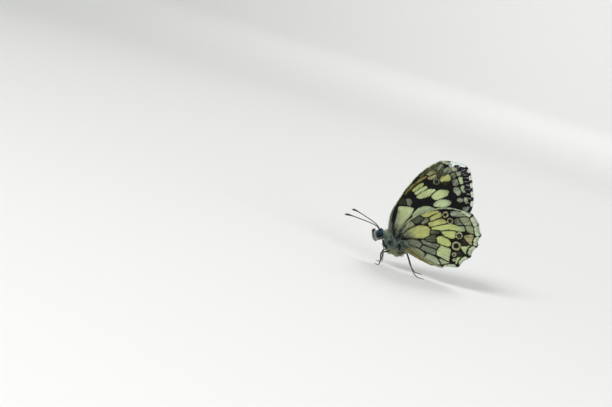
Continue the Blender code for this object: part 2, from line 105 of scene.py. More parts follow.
# Charts of the wings: s runs from the root to the wing's far end, t towards its hind margin.
# A mark is its tone and its outline.
FOREWING = {
    "root": (1.2, 8.7), "axis_deg": 62.6, "far_y": 0.55, "root_y": 1.5, "root_reach": 2.8, "root_power": 2.0,
    "belly_y": 0.0, "cells": (250, 128), "node": "forewing_", "slot": "forewing", "fringe": 0.3,
    "scale": 31.0, "grow": 0.1, "dusky_grow": 0.06, "line": 0.14,
    "front": [(0.2, -0.7), (1.8, -2.6), (3.9, -4.3), (6.5, -5.4), (9.5, -6.1), (12.9, -6.6), (16.3, -6.8),
              (19.6, -6.5), (22.4, -5.7), (24.2, -4.8), (25.5, -2.1)],
    "base": [(0.2, -0.7), (0.3, 0.5)],
    "dark_stripe": [(0.2, 0.0), (1.3, -1.2), (3.2, -2.7)],
    "vein_ends": [(25.5, -2.1), (27.5, -0.4), (27.9, 1.6), (27.3, 3.4), (26.1, 5.1), (24.6, 6.8), (22.9, 8.8),
                  (20.7, 10.4), (19.2, 10.7)],
    "scallops": [-0.5, -0.2, -0.1, 0.0, 0.0, -0.05, -0.05, -0.1],
    "hind": [(19.2, 10.7), (14.0, 8.0), (9.0, 5.3), (4.5, 2.6), (2.0, 1.1), (0.3, 0.5)],
    "veins": {
        "subcosta": [(0.6, -0.6), (2.7, -2.5), (5.6, -4.2), (9.6, -5.3), (14.2, -5.9), (18.5, -5.8),
                     (22.0, -5.3)],
        "radius": [(0.7, -0.1), (3.4, -2.2), (6.6, -3.6), (10.7, -4.5), (14.3, -4.9), (17.3, -4.7),
                   (18.5, -4.3)],
        "radius_1": [(14.6, -4.9), (18.8, -5.1), (21.9, -4.6), (24.3, -4.1)],
        "radius_2": [(17.0, -4.7), (20.6, -4.3), (23.6, -3.4), (25.5, -2.4)],
        "radius_4": [(18.5, -4.3), (21.4, -3.5), (24.1, -2.3), (27.5, -0.4)],
        "radius_5": [(24.1, -2.3), (26.2, -0.5), (27.9, 1.6)],
        "media_1": [(18.2, -3.9), (21.2, -2.2), (24.2, 0.1), (27.3, 3.4)],
        "media_2": [(17.3, -3.0), (19.4, -0.6), (22.6, 2.0), (26.1, 5.1)],
        "media_3": [(13.1, -1.7), (17.2, 0.0), (20.8, 2.6), (24.6, 6.8)],
        "cubitus_1": [(12.2, -1.6), (15.0, 0.9), (18.4, 4.3), (22.9, 8.8)],
        "cubitus_2": [(10.0, -1.2), (13.5, 2.4), (16.8, 5.9), (20.7, 10.4)],
        "cubitus": [(0.8, 0.1), (4.1, -0.1), (7.3, -0.6), (10.2, -1.2), (13.1, -1.7), (15.7, -2.2),
                    (17.3, -3.0), (18.5, -4.3)],
        "anal": [(1.1, 0.3), (4.6, 1.6), (9.3, 4.2), (14.3, 7.0), (19.2, 10.6)],
    },
    "marks": [
        ("cream", [(7.0, -4.2), (7.9, -3.3), (9.0, -2.0), (9.3, -1.1), (8.3, -0.6), (7.5, -0.4), (6.2, -0.3),
                   (5.2, -0.2), (4.2, 0.2), (2.8, 0.5), (1.4, 0.2), (1.2, -0.5), (1.9, -1.1), (3.0, -1.8),
                   (4.4, -2.6), (5.9, -3.5)]),
        ("grey", [(5.6, -5.0), (4.4, -4.5), (3.5, -3.9), (2.6, -3.3), (1.6, -2.6), (0.7, -1.7), (0.2, -1.4),
                  (0.1, -2.1), (1.2, -3.1), (2.4, -3.9), (3.8, -4.7), (5.4, -5.3)]),
        ("soot", [(8.3, -5.6), (9.2, -5.1), (9.6, -4.0), (8.9, -3.6), (8.0, -4.3), (7.6, -5.1)]),
        ("grey", [(9.8, -4.2), (10.5, -3.6), (10.3, -2.8), (9.5, -2.4), (9.2, -2.9), (9.4, -3.6)]),
        ("pale", [(7.8, 0.1), (8.7, -0.1), (9.9, -0.1), (11.1, 0.2), (12.3, 1.0), (13.1, 2.1), (13.4, 3.1),
                  (12.4, 3.2), (10.8, 2.6), (9.0, 2.0), (7.6, 1.4)]),
        ("pale", [(14.1, 2.2), (14.9, 2.0), (16.2, 2.4), (17.4, 3.5), (18.0, 4.6), (17.9, 5.1), (16.9, 5.1),
                  (15.7, 4.6), (14.7, 3.6), (14.2, 2.8)]),
        ("cream", [(15.4, 0.0), (16.3, -0.2), (17.4, 0.2), (18.6, 1.0), (19.6, 2.2), (19.2, 2.7), (18.2, 2.8),
                   (16.9, 2.3), (15.6, 1.6), (15.3, 0.7)]),
        ("cream", [(12.4, -2.6), (13.5, -2.7), (14.8, -2.3), (16.0, -1.8), (17.2, -0.8), (17.3, -0.3),
                   (15.9, -0.3), (14.4, -0.8), (13.1, -1.5), (12.4, -2.2)]),
        ("streak", [(12.9, -4.7), (14.3, -4.8), (15.5, -4.6), (16.3, -4.1), (16.1, -3.8), (14.8, -3.9),
                    (13.2, -4.1), (12.8, -4.3)]),
        ("cream", [(12.8, -3.8), (14.0, -3.7), (15.4, -3.4), (16.3, -2.9), (16.2, -2.4), (14.9, -2.7),
                   (13.5, -3.0), (12.7, -3.4)]),
        ("ochre", [(10.7, -5.65), (13.7, -5.8), (16.2, -5.45), (18.4, -4.9), (18.3, -4.7), (16.0, -5.15),
                   (13.6, -5.5), (10.8, -5.45)]),
        ("bark", [(17.0, -5.9), (19.2, -5.8), (21.2, -5.4), (23.0, -5.0), (24.1, -4.5), (22.8, -4.7),
                  (21.2, -5.0), (19.2, -5.4), (17.4, -5.6)]),
        ("sand", [(18.6, -5.3), (19.7, -5.1), (20.8, -4.5), (20.8, -3.9), (19.6, -4.1), (18.8, -4.7)]),
        ("sand", [(18.3, -4.1), (19.5, -3.8), (20.4, -3.1), (19.9, -2.8), (18.8, -3.3)]),
        ("slate", [(21.4, -3.4), (22.2, -2.9), (22.3, -2.0), (22.5, -1.4), (21.5, -2.0), (21.1, -2.8)]),
        ("grey", [(21.8, -4.7), (22.7, -4.5), (23.5, -3.9), (23.6, -3.5), (23.0, -3.2), (22.1, -3.6),
                  (21.6, -4.2)]),
        ("grey", [(22.7, -2.6), (23.6, -2.5), (24.5, -1.8), (24.2, -1.1), (23.5, -1.1), (22.7, -1.9)]),
        ("mist", [(24.3, -4.6), (25.0, -3.9), (25.5, -2.7), (25.1, -2.6), (24.8, -3.1), (24.3, -3.9)]),
        ("yellow", [(20.4, -1.4), (21.5, -1.6), (22.7, -0.9), (22.8, 0.0), (22.2, 0.5), (21.3, 0.2),
                    (20.5, -0.5), (20.2, -1.1)]),
        ("soot", [(20.2, -0.3), (21.1, 0.2), (21.3, 0.8), (20.5, 0.7), (20.0, 0.2)]),
        ("grey", [(23.8, -0.4), (24.4, 0.1), (24.3, 0.7), (23.4, 0.9), (23.3, 0.3)]),
        ("grey", [(22.6, 1.2), (23.4, 1.6), (23.6, 2.3), (23.0, 2.8), (22.2, 2.7), (22.0, 1.9)]),
        ("rim", [(20.9, 3.1), (21.8, 3.1), (22.2, 3.8), (22.0, 4.6), (21.2, 5.2), (20.7, 4.9), (20.8, 4.3),
                 (20.7, 3.6)]),
        ("rim", [(19.7, 5.7), (20.5, 5.9), (20.7, 6.6), (20.3, 7.0), (19.6, 6.5)]),
        ("mist", [(24.8, -1.4), (25.4, -1.1), (25.6, -0.2), (25.1, 0.0), (24.5, -0.6)]),
        ("rim", [(24.7, 0.3), (25.5, 0.8), (25.4, 1.4), (24.7, 1.4), (24.4, 0.8)]),
        ("pale", [(24.3, 1.9), (25.0, 2.4), (24.4, 2.8), (24.1, 3.6), (23.5, 3.4), (23.6, 2.6), (24.0, 2.1)]),
        ("mist", [(22.9, 4.0), (23.6, 4.3), (23.1, 5.0), (22.7, 5.8), (22.3, 5.5), (22.4, 4.8)]),
        ("mist", [(21.3, 6.9), (21.9, 7.2), (21.6, 7.8), (20.8, 8.2), (20.7, 7.6)]),
        ("rim", [(18.8, 8.6), (19.6, 8.7), (20.1, 9.5), (20.0, 10.3), (19.2, 10.1), (18.8, 9.4)]),
    ],
    # An eyespot is its centre, its radius, the ring's width and the ring's tone.
    "spots": [((19.2, -1.8), 0.85, 0.16, "grey")],
    # A wash is its centre, its radius, its tone and its strength.
    "washes": [((17.8, 5.2), 0.8, "grey", 0.6), ((19.6, 2.2), 0.8, "grey", 0.55),
               ((7.4, -0.6), 1.6, "pale", 0.6), ((2.8, -1.4), 1.0, "slate", 0.6),
               ((4.4, -2.3), 0.9, "grey", 0.65), ((5.8, -3.2), 0.6, "grey", 0.5),
               ((14.4, -1.5), 1.4, "sand", 0.35), ((10.6, 1.4), 1.6, "grey", 0.25),
               ((9.9, -3.3), 0.8, "soot", 0.35)],
}

HINDWING = {
    "root": (4.1, 8.4), "axis_deg": 19.4, "far_y": 1.55, "root_y": 0.9, "root_reach": 3.0, "root_power": 1.0,
    "belly_y": 0.3, "cells": (190, 165), "node": "hindwing_", "slot": "hindwing", "fringe": 0.25,
    "scale": 26.0, "grow": 0.16, "dusky_grow": 0.1, "line": 0.17,
    "front": [(-0.1, 0.2), (-0.2, -1.2), (0.0, -2.6), (0.6, -3.8), (2.5, -5.8), (6.3, -7.6), (9.9, -8.4),
              (13.5, -8.5), (17.4, -7.5)],
    "base": [(-0.1, 0.2), (0.6, 1.0)],
    "dark_stripe": [(0.0, -0.4), (2.5, -0.3), (5.0, -0.3)],
    "vein_ends": [(17.4, -7.5), (19.7, -6.2), (21.2, -3.4), (21.8, -0.2), (20.8, 2.7), (18.7, 5.6),
                  (15.3, 8.1), (10.9, 7.7)],
    "scallops": [-0.1, -0.05, 0.15, 0.5, 0.6, 0.45, 0.0],
    "hind": [(10.9, 7.7), (8.1, 6.7), (5.1, 4.6), (2.4, 2.5), (0.6, 1.0)],
    "veins": {
        "subcosta": [(0.4, -1.0), (1.0, -3.6), (3.0, -5.5), (6.5, -7.1), (10.4, -7.8), (14.3, -8.0),
                     (17.4, -7.5)],
        "radius": [(0.6, -0.7), (1.3, -2.7), (3.1, -4.1), (4.9, -4.6), (7.2, -4.4)],
        "radius_s": [(3.1, -4.2), (5.6, -5.6), (8.1, -6.4), (11.2, -7.1), (14.6, -7.2), (19.7, -6.2)],
        "media_1": [(7.2, -4.4), (8.2, -4.9), (10.9, -5.6), (13.7, -5.8), (16.7, -5.2), (20.6, -4.7)],
        "media_2": [(7.6, -3.8), (9.6, -3.9), (12.7, -4.2), (16.6, -3.9), (21.2, -3.4)],
        "media_3": [(8.5, -2.6), (13.2, -2.4), (15.4, -1.9), (18.5, -1.1), (21.8, -0.2)],
        "cubitus": [(0.8, -0.4), (2.2, -0.3), (5.6, -0.3), (7.8, -0.6), (9.1, -1.4), (8.5, -2.6),
                    (7.2, -4.4)],
        "cubitus_1": [(9.1, -1.4), (10.9, -0.7), (13.6, 0.3), (17.4, 1.5), (20.8, 2.7)],
        "cubitus_2": [(6.1, -0.2), (8.3, 1.1), (10.5, 2.0), (13.0, 3.0), (16.3, 4.5), (18.7, 5.6)],
        "anal_1": [(0.9, 0.2), (2.8, 1.2), (5.2, 2.5), (8.4, 4.2), (10.6, 5.5), (13.0, 6.7), (15.3, 8.1)],
        "anal_2": [(1.2, 0.9), (2.9, 2.2), (5.4, 3.9), (7.9, 5.7), (10.8, 7.4)],
    },
    "marks": [
        ("yellow", [(0.9, -1.6), (1.5, -2.6), (2.5, -3.0), (3.6, -3.4), (5.5, -3.7), (7.2, -3.3), (7.9, -2.5),
                    (7.6, -1.4), (6.3, -0.6), (4.3, -0.5), (2.4, -0.6), (1.1, -0.8)]),
        ("moss", [(0.4, -2.7), (1.0, -3.8), (1.6, -4.6), (2.6, -5.0), (3.4, -4.5), (3.3, -3.9), (2.0, -3.2),
                  (0.6, -2.3)]),
        ("slate", [(3.1, -5.6), (4.1, -6.1), (5.7, -6.1), (6.1, -5.8), (5.1, -5.1), (4.3, -4.7),
                   (3.6, -4.9)]),
        ("grey", [(5.8, -4.7), (6.4, -5.3), (7.4, -5.7), (7.6, -5.3), (6.9, -4.8), (6.0, -4.4)]),
        ("yellow", [(5.8, -6.8), (6.6, -7.2), (8.1, -7.6), (9.9, -7.6), (10.4, -7.4), (9.1, -6.7),
                    (7.6, -6.3), (6.0, -6.3)]),
        ("yellow", [(8.0, -6.0), (9.4, -6.7), (10.9, -7.1), (11.0, -6.0), (9.7, -5.5), (8.3, -5.0)]),
        ("yellow", [(7.7, -4.4), (9.0, -5.0), (10.8, -5.5), (11.9, -5.1), (12.3, -4.3), (10.9, -4.0),
                    (8.9, -3.7), (7.9, -3.7)]),
        ("streak", [(8.5, -2.9), (10.5, -3.6), (12.9, -3.8), (15.0, -3.6), (16.9, -3.1), (17.5, -2.1),
                    (15.8, -2.1), (13.2, -2.4), (10.8, -2.4), (9.2, -2.5)]),
        ("streak", [(11.2, -1.8), (12.4, -2.2), (14.0, -2.1), (14.8, -1.7), (14.5, -0.3), (13.8, -0.1),
                    (12.3, -0.6), (11.7, -1.2)]),
        ("streak", [(9.7, -0.2), (10.6, -0.6), (11.8, -0.3), (13.0, 0.6), (13.3, 1.4), (12.7, 2.1),
                    (11.7, 1.9), (10.5, 1.3), (9.8, 0.6)]),
        ("cream", [(9.9, 2.1), (11.1, 2.0), (12.2, 2.5), (13.2, 3.1), (13.1, 3.8), (12.8, 4.9), (12.5, 6.1),
                   (11.7, 5.7), (10.5, 4.8), (9.6, 4.1), (9.9, 3.0)]),
        ("mist", [(6.1, 4.9), (7.0, 4.2), (8.1, 4.5), (9.5, 5.6), (10.3, 6.4), (9.9, 7.0), (8.6, 6.7),
                  (7.1, 5.9)]),
        ("mist", [(10.2, 5.7), (11.2, 6.0), (12.7, 6.8), (12.5, 7.2), (10.8, 7.0), (10.3, 6.4)]),
        ("moss", [(1.6, 1.4), (2.7, 1.8), (3.8, 2.2), (5.2, 3.2), (6.0, 4.4), (4.9, 4.4), (3.5, 3.6),
                  (2.3, 2.5)]),
        ("grey", [(1.4, 0.0), (3.7, 0.1), (4.6, 0.7), (5.2, 1.4), (5.0, 2.1), (3.2, 1.6), (2.0, 0.8)]),
        ("grey", [(5.6, 0.3), (6.7, 0.3), (7.9, 1.0), (9.2, 1.4), (10.3, 1.9), (9.7, 2.5), (7.9, 2.0),
                  (6.2, 1.3)]),
        ("grey", [(5.2, 2.4), (6.0, 1.8), (7.1, 2.2), (8.6, 2.9), (9.0, 3.9), (7.8, 3.8), (6.7, 3.1)]),
        ("slate", [(6.4, 0.2), (7.6, -0.5), (9.2, -0.8), (9.0, 0.7), (8.1, 0.9)]),
        ("slate", [(8.0, -2.0), (9.4, -2.4), (10.2, -1.9), (8.8, -1.5)]),
        ("rim", [(13.9, -7.2), (15.2, -7.4), (16.5, -7.2), (17.6, -6.6), (18.3, -6.0), (16.8, -6.0),
                 (15.4, -6.1), (14.1, -6.4)]),
        ("moss", [(16.4, -5.3), (17.6, -5.7), (18.6, -5.6), (18.9, -4.9), (19.1, -3.9), (18.2, -3.8),
                  (17.3, -4.0), (16.5, -4.6)]),
        ("grey", [(14.8, -4.9), (15.7, -5.2), (16.2, -4.5), (16.7, -3.8), (15.6, -3.8), (14.9, -4.3)]),
        ("moss", [(17.8, -2.9), (18.9, -3.0), (19.6, -2.8), (19.8, -1.8), (19.6, -1.3), (18.7, -1.7),
                  (18.1, -2.2)]),
        ("sand", [(17.3, -0.2), (18.4, -0.5), (19.5, -0.5), (19.6, 0.6), (19.4, 1.9), (18.9, 1.9),
                  (18.1, 0.9)]),
        ("cream", [(16.3, 2.4), (17.5, 2.2), (18.7, 2.2), (18.4, 3.3), (17.7, 4.5), (17.3, 4.2), (16.9, 3.5),
                   (16.5, 2.9)]),
        ("soot", [(17.1, 0.6), (17.6, 1.3), (18.0, 1.9), (17.2, 2.0), (16.3, 1.8), (16.2, 1.2)]),
        ("cream", [(15.1, 5.4), (16.3, 5.0), (17.2, 5.1), (16.5, 5.7), (15.7, 6.6), (15.1, 7.1), (14.7, 6.9),
                   (14.9, 6.2)]),
        ("soot", [(15.4, 3.4), (16.3, 4.5), (16.8, 5.0), (15.7, 4.9), (15.2, 4.3)]),
    ],
    "spots": [((12.3, -6.6), 0.82, 0.24, "ring"), ((13.5, -4.8), 0.84, 0.24, "ring"),
              ((15.8, -0.7), 0.95, 0.26, "ring"), ((14.9, 2.1), 1.15, 0.3, "ring"),
              ((14.2, 4.5), 0.6, 0.22, "ring"), ((14.2, 5.9), 0.4, 0.16, "ring")],
    "washes": [((17.0, -2.6), 1.5, "rim", 0.75), ((12.3, 5.4), 1.6, "pale", 0.7),
               ((6.9, -2.3), 1.4, "streak", 0.5), ((16.0, -6.6), 1.4, "grey", 0.5),
               ((11.5, 3.4), 1.8, "moss", 0.2)],
}

# Flesh: centre (x, z), offset to each side, half sizes and nose-up pitch in degrees.
BODY_LUMPS = [
    ((0.0, 8.3), 0.0, (1.0, 1.1, 1.45), 20.0),
    ((1.6, 7.45), 0.0, (2.3, 1.6, 2.55), 12.0),
    ((3.6, 7.2), 0.0, (1.6, 1.4, 2.2), 12.0),
    ((-0.1, 6.4), 0.55, (0.4, 0.35, 0.8), 20.0),
    ((1.5, 4.9), 0.75, (0.5, 0.45, 0.75), 10.0),
    ((3.5, 4.75), 0.8, (0.65, 0.45, 0.75), -15.0),
    ((-1.3, 7.9), 0.0, (0.8, 0.6, 0.8), 0.0),
    ((-2.35, 7.78), 0.0, (0.85, 0.95, 1.32), 0.0),
    ((4.9, 6.85), 0.0, (1.3, 1.0, 1.15), 20.0),
    ((2.6, 4.95), 0.0, (1.7, 0.95, 0.7), 0.0),
    ((4.55, 5.15), 0.45, (0.85, 0.5, 0.75), 10.0),
    ((3.1, 9.0), 0.0, (0.95, 0.8, 1.0), 0.0),
]
ABDOMEN_ENDS = ((4.6, 6.9), (14.4, 4.35))
ABDOMEN_HALF = (1.0, 1.1)
ABDOMEN_SEGMENTS = 7
# Patches of darker (negative) or paler hair on the thorax, and one of painted shade: from (x, z) to (x, z),
# half width and amount.
THORAX_PATCHES = [
    ((0.7, 10.2), (1.1, 8.8), 0.32, -1.2), ((1.9, 8.3), (4.2, 9.0), 0.26, -1.0),
    ((3.3, 7.4), (3.9, 6.2), 0.24, -1.0), ((3.9, 6.2), (4.5, 5.0), 0.36, -1.0),
    # The dark patch from (4.6, 8.0) to (5.0, 8.6) is painted shade where the hindwing's root meets the
    # thorax.
    ((4.6, 8.0), (5.0, 8.6), 0.3, -0.9), ((-1.0, 8.4), (-0.4, 7.8), 0.2, -0.7),
    ((0.4, 6.6), (0.9, 7.6), 0.18, -0.7), ((1.9, 7.5), (2.5, 7.1), 0.4, 0.9),
    ((-0.5, 7.4), (0.1, 6.6), 0.4, 0.9), ((0.6, 9.7), (0.4, 9.2), 0.35, 0.8),
    ((1.5, 6.4), (2.3, 6.0), 0.35, 0.6), ((-0.9, 9.3), (-0.2, 9.6), 0.4, 0.9),
    ((2.9, 7.6), (3.1, 8.0), 0.2, 0.7), ((4.2, 7.4), (4.6, 6.6), 0.25, 0.8),
]
EYE_CENTRE = (-2.32, 8.05)
EYE_OUT = 1.0
EYE_HALF = (0.8, 0.54, 1.14)
EYE_TILT = 8.0

# Tubes: points (x, outward y, z) and the radius at each.
PALP = ([(-2.45, 0.4, 6.3), (-3.1, 0.45, 6.45), (-3.6, 0.48, 7.1), (-3.9, 0.46, 7.9), (-4.12, 0.42, 8.65)],
        [0.16, 0.2, 0.2, 0.15, 0.05])
PROBOSCIS = ([(-1.85, 0.0, 7.2), (-1.3, 0.0, 6.7), (-0.98, 0.0, 6.1), (-0.72, 0.0, 5.5), (-0.36, 0.0, 4.7),
              (0.02, 0.0, 3.8), (0.18, 0.0, 2.9), (0.34, 0.0, 1.9), (0.42, 0.0, 1.1), (0.34, 0.0, 0.35)],
             [0.13, 0.13, 0.12, 0.11, 0.105, 0.1, 0.1, 0.095, 0.09, 0.05])
ANTENNA = ([(-2.75, 0.4, 8.85), (-3.0, 0.46, 9.25), (-3.4, 0.65, 9.66), (-4.2, 1.25, 10.08),
            (-5.6, 2.25, 10.46), (-7.5, 3.6, 10.8), (-9.1, 4.75, 11.06), (-10.4, 5.65, 11.26),
            (-11.4, 6.35, 11.35), (-12.1, 6.8, 11.3), (-12.55, 7.05, 11.2)],
           [0.17, 0.16, 0.14, 0.135, 0.13, 0.13, 0.135, 0.16, 0.25, 0.27, 0.08])
FORELEG = ([(-1.0, 1.0, 6.8), (-0.55, 1.25, 6.1), (0.0, 1.45, 5.5), (0.4, 1.55, 5.1), (0.65, 1.5, 4.8)],
           [0.12, 0.16, 0.15, 0.12, 0.06])
FOOT_JOINTS = 5
SPURS = 16
SPUR_LENGTH = 0.26
LEGS = {
    "midleg_": {"forward": 0.35, "joints": (3, 7), "points": [
        (1.9, 1.0, 4.65), (1.15, 2.1, 4.15), (0.4, 2.75, 3.95), (-0.2, 3.0, 3.5), (-0.2, 3.05, 2.8),
        (0.04, 3.1, 2.1), (0.12, 3.1, 1.3), (0.12, 3.12, 0.6), (-0.04, 3.14, 0.16), (-0.55, 3.18, 0.1),
        (-0.98, 3.2, 0.09)],
        "radii": [0.22, 0.2, 0.18, 0.15, 0.16, 0.15, 0.14, 0.12, 0.1, 0.095, 0.075]},
    "hindleg_": {"forward": 1.3, "joints": (4, 9), "points": [
        (3.6, 1.0, 4.7), (4.5, 2.1, 4.7), (5.5, 2.75, 5.2), (6.4, 3.0, 5.45), (6.9, 3.1, 5.25),
        (7.7, 3.15, 4.1), (8.5, 3.2, 2.85), (9.25, 3.25, 1.7), (10.0, 3.3, 0.88), (10.7, 3.3, 0.36),
        (11.35, 3.35, 0.13), (12.2, 3.4, 0.095), (12.95, 3.43, 0.09)],
        "radii": [0.22, 0.2, 0.18, 0.15, 0.14, 0.15, 0.14, 0.13, 0.12, 0.11, 0.1, 0.09, 0.07]},
}

# The camera: a point of the model, the pixel of the 612 x 407 picture that it shows at, and the view's turn.
PICTURE = (612.0, 407.0)
PICTURE_MM_PER_PX = 0.275
AIM_MM = (9.46, -1.0, 17.3)
AIM_PX = (430.0, 215.0)
VIEW_AZIMUTH_DEG = 8.0
VIEW_DOWN_DEG = 8.0
VIEW_ROLL_DEG = 16.4
LENS = 100.0
SENSOR = 36.0

# Where the floor starts to bend up behind the model and the bend's radius, in metres.
BEND_START = 1.1
BEND_RADIUS = 0.5


# Colour and curve helpers
def linear(tone):
    """Linear red, green and blue of a tone's name or of screen values from 0 to 255."""
    values = TONES[tone] if isinstance(tone, str) else tone
    return tuple((v / 255) / 12.92 if v < 10.3 else ((v / 255 + 0.055) / 1.055) ** 2.4 for v in values)


def one_tint(tone, points):
    """The tone's colour once for every point."""
    return np.tile(linear(tone), (len(points), 1))


def smoothstep(low, high, value):
    u = np.clip((value - low) / (high - low), 0.0, 1.0)
    return u * u * (3 - 2 * u)


def blend(a, b, share):
    share = np.asarray(share)[..., None]
    return np.asarray(a) * (1 - share) + np.asarray(b) * share


def spline(points, step, closed=False):
    """Points about step apart on a smooth curve through the given ones."""
    p = np.array(points, float)
    n = len(p)
    before, after = (p[-1], p[0]) if closed else (2 * p[0] - p[1], 2 * p[-1] - p[-2])
    padded = np.vstack([before, p, after, p[1 % n] if closed else after])
    line = [p[0]]
    for k in range(n if closed else n - 1):
        a, b, c, d = padded[k:k + 4]
        count = max(1, round(float(np.linalg.norm(c[:3] - b[:3])) / step))
        for u in np.arange(1, count + 1) / count:
            line.append(0.5 * (2 * b + (c - a) * u + (2 * a - 5 * b + 4 * c - d) * u ** 2
                               + (3 * b - a - 3 * c + d) * u ** 3))
    return np.array(line[:-1] if closed else line)


def unit(vectors):
    """The rows, each brought to length one."""
    return vectors / np.maximum(np.linalg.norm(vectors, axis=1), 1e-9)[:, None]


def turned(vectors):
    """Flat vectors turned by a right angle."""
    return np.stack([-vectors[:, 1], vectors[:, 0]], axis=1)


def reach_along(line):
    """How far along the line each of its points lies. A fourth column, a tube's radius, doesn't count."""
    return np.concatenate([[0.0], np.cumsum(np.linalg.norm(np.diff(line[:, :3], axis=0), axis=1))])


def sample(line, at, reach=None):
    """Rows of the line at places along it, in steps of the line or in the units of reach."""
    steps = np.arange(len(line)) if reach is None else reach
    return np.stack([np.interp(at, steps, column) for column in line.T], axis=-1)


def spread(line, count):
    """The line cut anew into count equal steps."""
    reach = reach_along(line)
    return sample(line, np.linspace(0.0, reach[-1], count + 1), reach)


def to_line(points, line, closed=False):
    """Each point's distance to a line, and how far along the line that is, in steps of the line."""
    ends = np.roll(line, -1, axis=0) if closed else line[1:]
    best = np.full(len(points), 1e9)
    along = np.zeros(len(points))
    for k, (a, b) in enumerate(zip(line, ends)):
        d = b - a
        u = np.clip(((points - a) @ d) / max(float(d @ d), 1e-12), 0.0, 1.0)
        off = points - a - u[:, None] * d
        gap = np.sqrt(np.einsum("ij,ij->i", off, off))
        nearer = gap < best
        best[nearer] = gap[nearer]
        along[nearer] = k + u[nearer]
    return best, along


def outline_field(points, outline):
    """Signed distance to a closed outline, positive inside, cut off at MARK_REACH outside."""
    field = np.full(len(points), -MARK_REACH)
    low, high = outline.min(0) - MARK_REACH, outline.max(0) + MARK_REACH
    near = np.all((points > low) & (points < high), axis=1)
    if not near.any():
        return field
    p = points[near]
    gap, _ = to_line(p, outline, closed=True)
    odd = np.zeros(len(p), bool)
    for (ax, ay), (bx, by) in zip(outline, np.roll(outline, -1, axis=0)):
        if ay != by:
            crossing = ax + (p[:, 1] - ay) * (bx - ax) / (by - ay)
            odd ^= ((ay > p[:, 1]) != (by > p[:, 1])) & (p[:, 0] < crossing)
    field[near] = np.where(odd, gap, -np.minimum(gap, MARK_REACH))
    return field


# Meshes and materials
def settings(name):
    return getattr(bpy.context.scene, "butterfly_" + name)


def show(item):
    bpy.context.scene.collection.objects.link(item)
    return item


def mesh_from_bmesh(name, shape):
    mesh = bpy.data.meshes.new(name)
    shape.to_mesh(mesh)
    shape.free()
    return mesh


def get_points(mesh):
    co = np.zeros(len(mesh.vertices) * 3, np.float32)
    mesh.vertices.foreach_get("co", co)
    return co.reshape(-1, 3).astype(float)


def set_points(mesh, points):
    mesh.vertices.foreach_set("co", np.asarray(points, np.float32).ravel())
    mesh.update()


def triangles_of(mesh):
    mesh.calc_loop_triangles()
    tris = np.zeros(len(mesh.loop_triangles) * 3, np.int32)
    mesh.loop_triangles.foreach_get("vertices", tris)
    return tris.reshape(-1, 3)


def face_outwards(mesh):
    """Turn the faces of one closed surface outwards."""
    p, t = get_points(mesh), triangles_of(mesh)
    volume = np.einsum("ij,ij->i", p[t[:, 0]], np.cross(p[t[:, 1]], p[t[:, 2]])).sum()
    if volume < 0:
        mesh.flip_normals()


def put_colour(mesh, name, colours):
    layer = mesh.color_attributes.get(name) or mesh.color_attributes.new(name, "FLOAT_COLOR", "POINT")
    rgba = np.ones((len(mesh.vertices), 4), np.float32)
    rgba[:, :3] = colours
    layer.data.foreach_set("color", rgba.ravel())


def put_value(mesh, name, values):
    layer = mesh.attributes.new(name, "FLOAT", "POINT")
    layer.data.foreach_set("value", np.asarray(values, np.float32))


def put_vector(mesh, name, vectors):
    layer = mesh.attributes.new(name, "FLOAT_VECTOR", "POINT")
    layer.data.foreach_set("vector", np.asarray(vectors, np.float32).ravel())


def put_uv(mesh, name, loop_uv):
    layer = mesh.uv_layers.new(name=name)
    layer.data.foreach_set("uv", np.asarray(loop_uv, np.float32).ravel())


def loop_vertices(mesh):
    index = np.zeros(len(mesh.loops), np.int32)
    mesh.loops.foreach_get("vertex_index", index)
    return index


def face_corners(mesh):
    """Each face's first corner and its number of corners."""
    sizes = np.zeros(len(mesh.polygons), np.int32)
    mesh.polygons.foreach_get("loop_total", sizes)
    return np.concatenate([[0], np.cumsum(sizes)[:-1]]), sizes


def add_piece(name, mesh, material, replaced=()):
    """Puts a finished mesh in the scene as a piece that rides on the part."""
    mesh.shade_smooth()
    mesh.materials.append(material)
    item = show(bpy.data.objects.new(name, mesh))
    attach(item, "root")
    if replaced:
        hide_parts(*replaced)


class Nodes:
    """Adds nodes to a new material and joins them."""

    def __init__(self, name):
        self.material = bpy.data.materials.new(name)
        self.material.use_nodes = True
        self.tree = self.material.node_tree
        self.shader = self.tree.nodes["Principled BSDF"]

    def add(self, kind, values=(), **facts):
        node = self.tree.nodes.new(kind)
        for name, value in facts.items():
            setattr(node, name, value)
        for socket, value in dict(values).items():
            if isinstance(value, bpy.types.NodeSocket):
                self.tree.links.new(value, node.inputs[socket])
            else:
                node.inputs[socket].default_value = value
        return node

    def math(self, operation, a, b=0.0, c=0.0):
        return self.add("ShaderNodeMath", {0: a, 1: b, 2: c}, operation=operation).outputs[0]

    def mix(self, share, a, b, how="MIX"):
        node = self.add("ShaderNodeMix", {0: share, 6: a, 7: b}, data_type="RGBA", blend_type=how)
        return node.outputs[2]

    def attribute(self, name, output):
        return self.add("ShaderNodeAttribute", attribute_name=name).outputs[output]

    def place(self):
        return self.add("ShaderNodeTexCoord").outputs["Object"]

    def noise(self, place, scale, detail=3.0):
        facts = {"Vector": place, "Scale": scale, "Detail": detail}
        return self.add("ShaderNodeTexNoise", facts).outputs["Fac"]

    def stretch(self, value, low, high, to_low=0.0, to_high=1.0):
        """The value's span from low to high brought to another span, and held at its ends."""
        spans = {"From Min": low, "From Max": high, "To Min": to_low, "To Max": to_high}
        return self.add("ShaderNodeMapRange", {"Value": value, **spans}).outputs[0]

    def bump(self, height, strength, distance):
        node = self.add("ShaderNodeBump", {"Height": height, "Strength": strength, "Distance": distance})
        self.tree.links.new(node.outputs["Normal"], self.shader.inputs["Normal"])

    def colour(self, socket):
        self.tree.links.new(socket, self.shader.inputs["Base Color"])

    def set(self, **values):
        for name, value in values.items():
            self.shader.inputs[name.replace("_", " ")].default_value = value
        return self.material


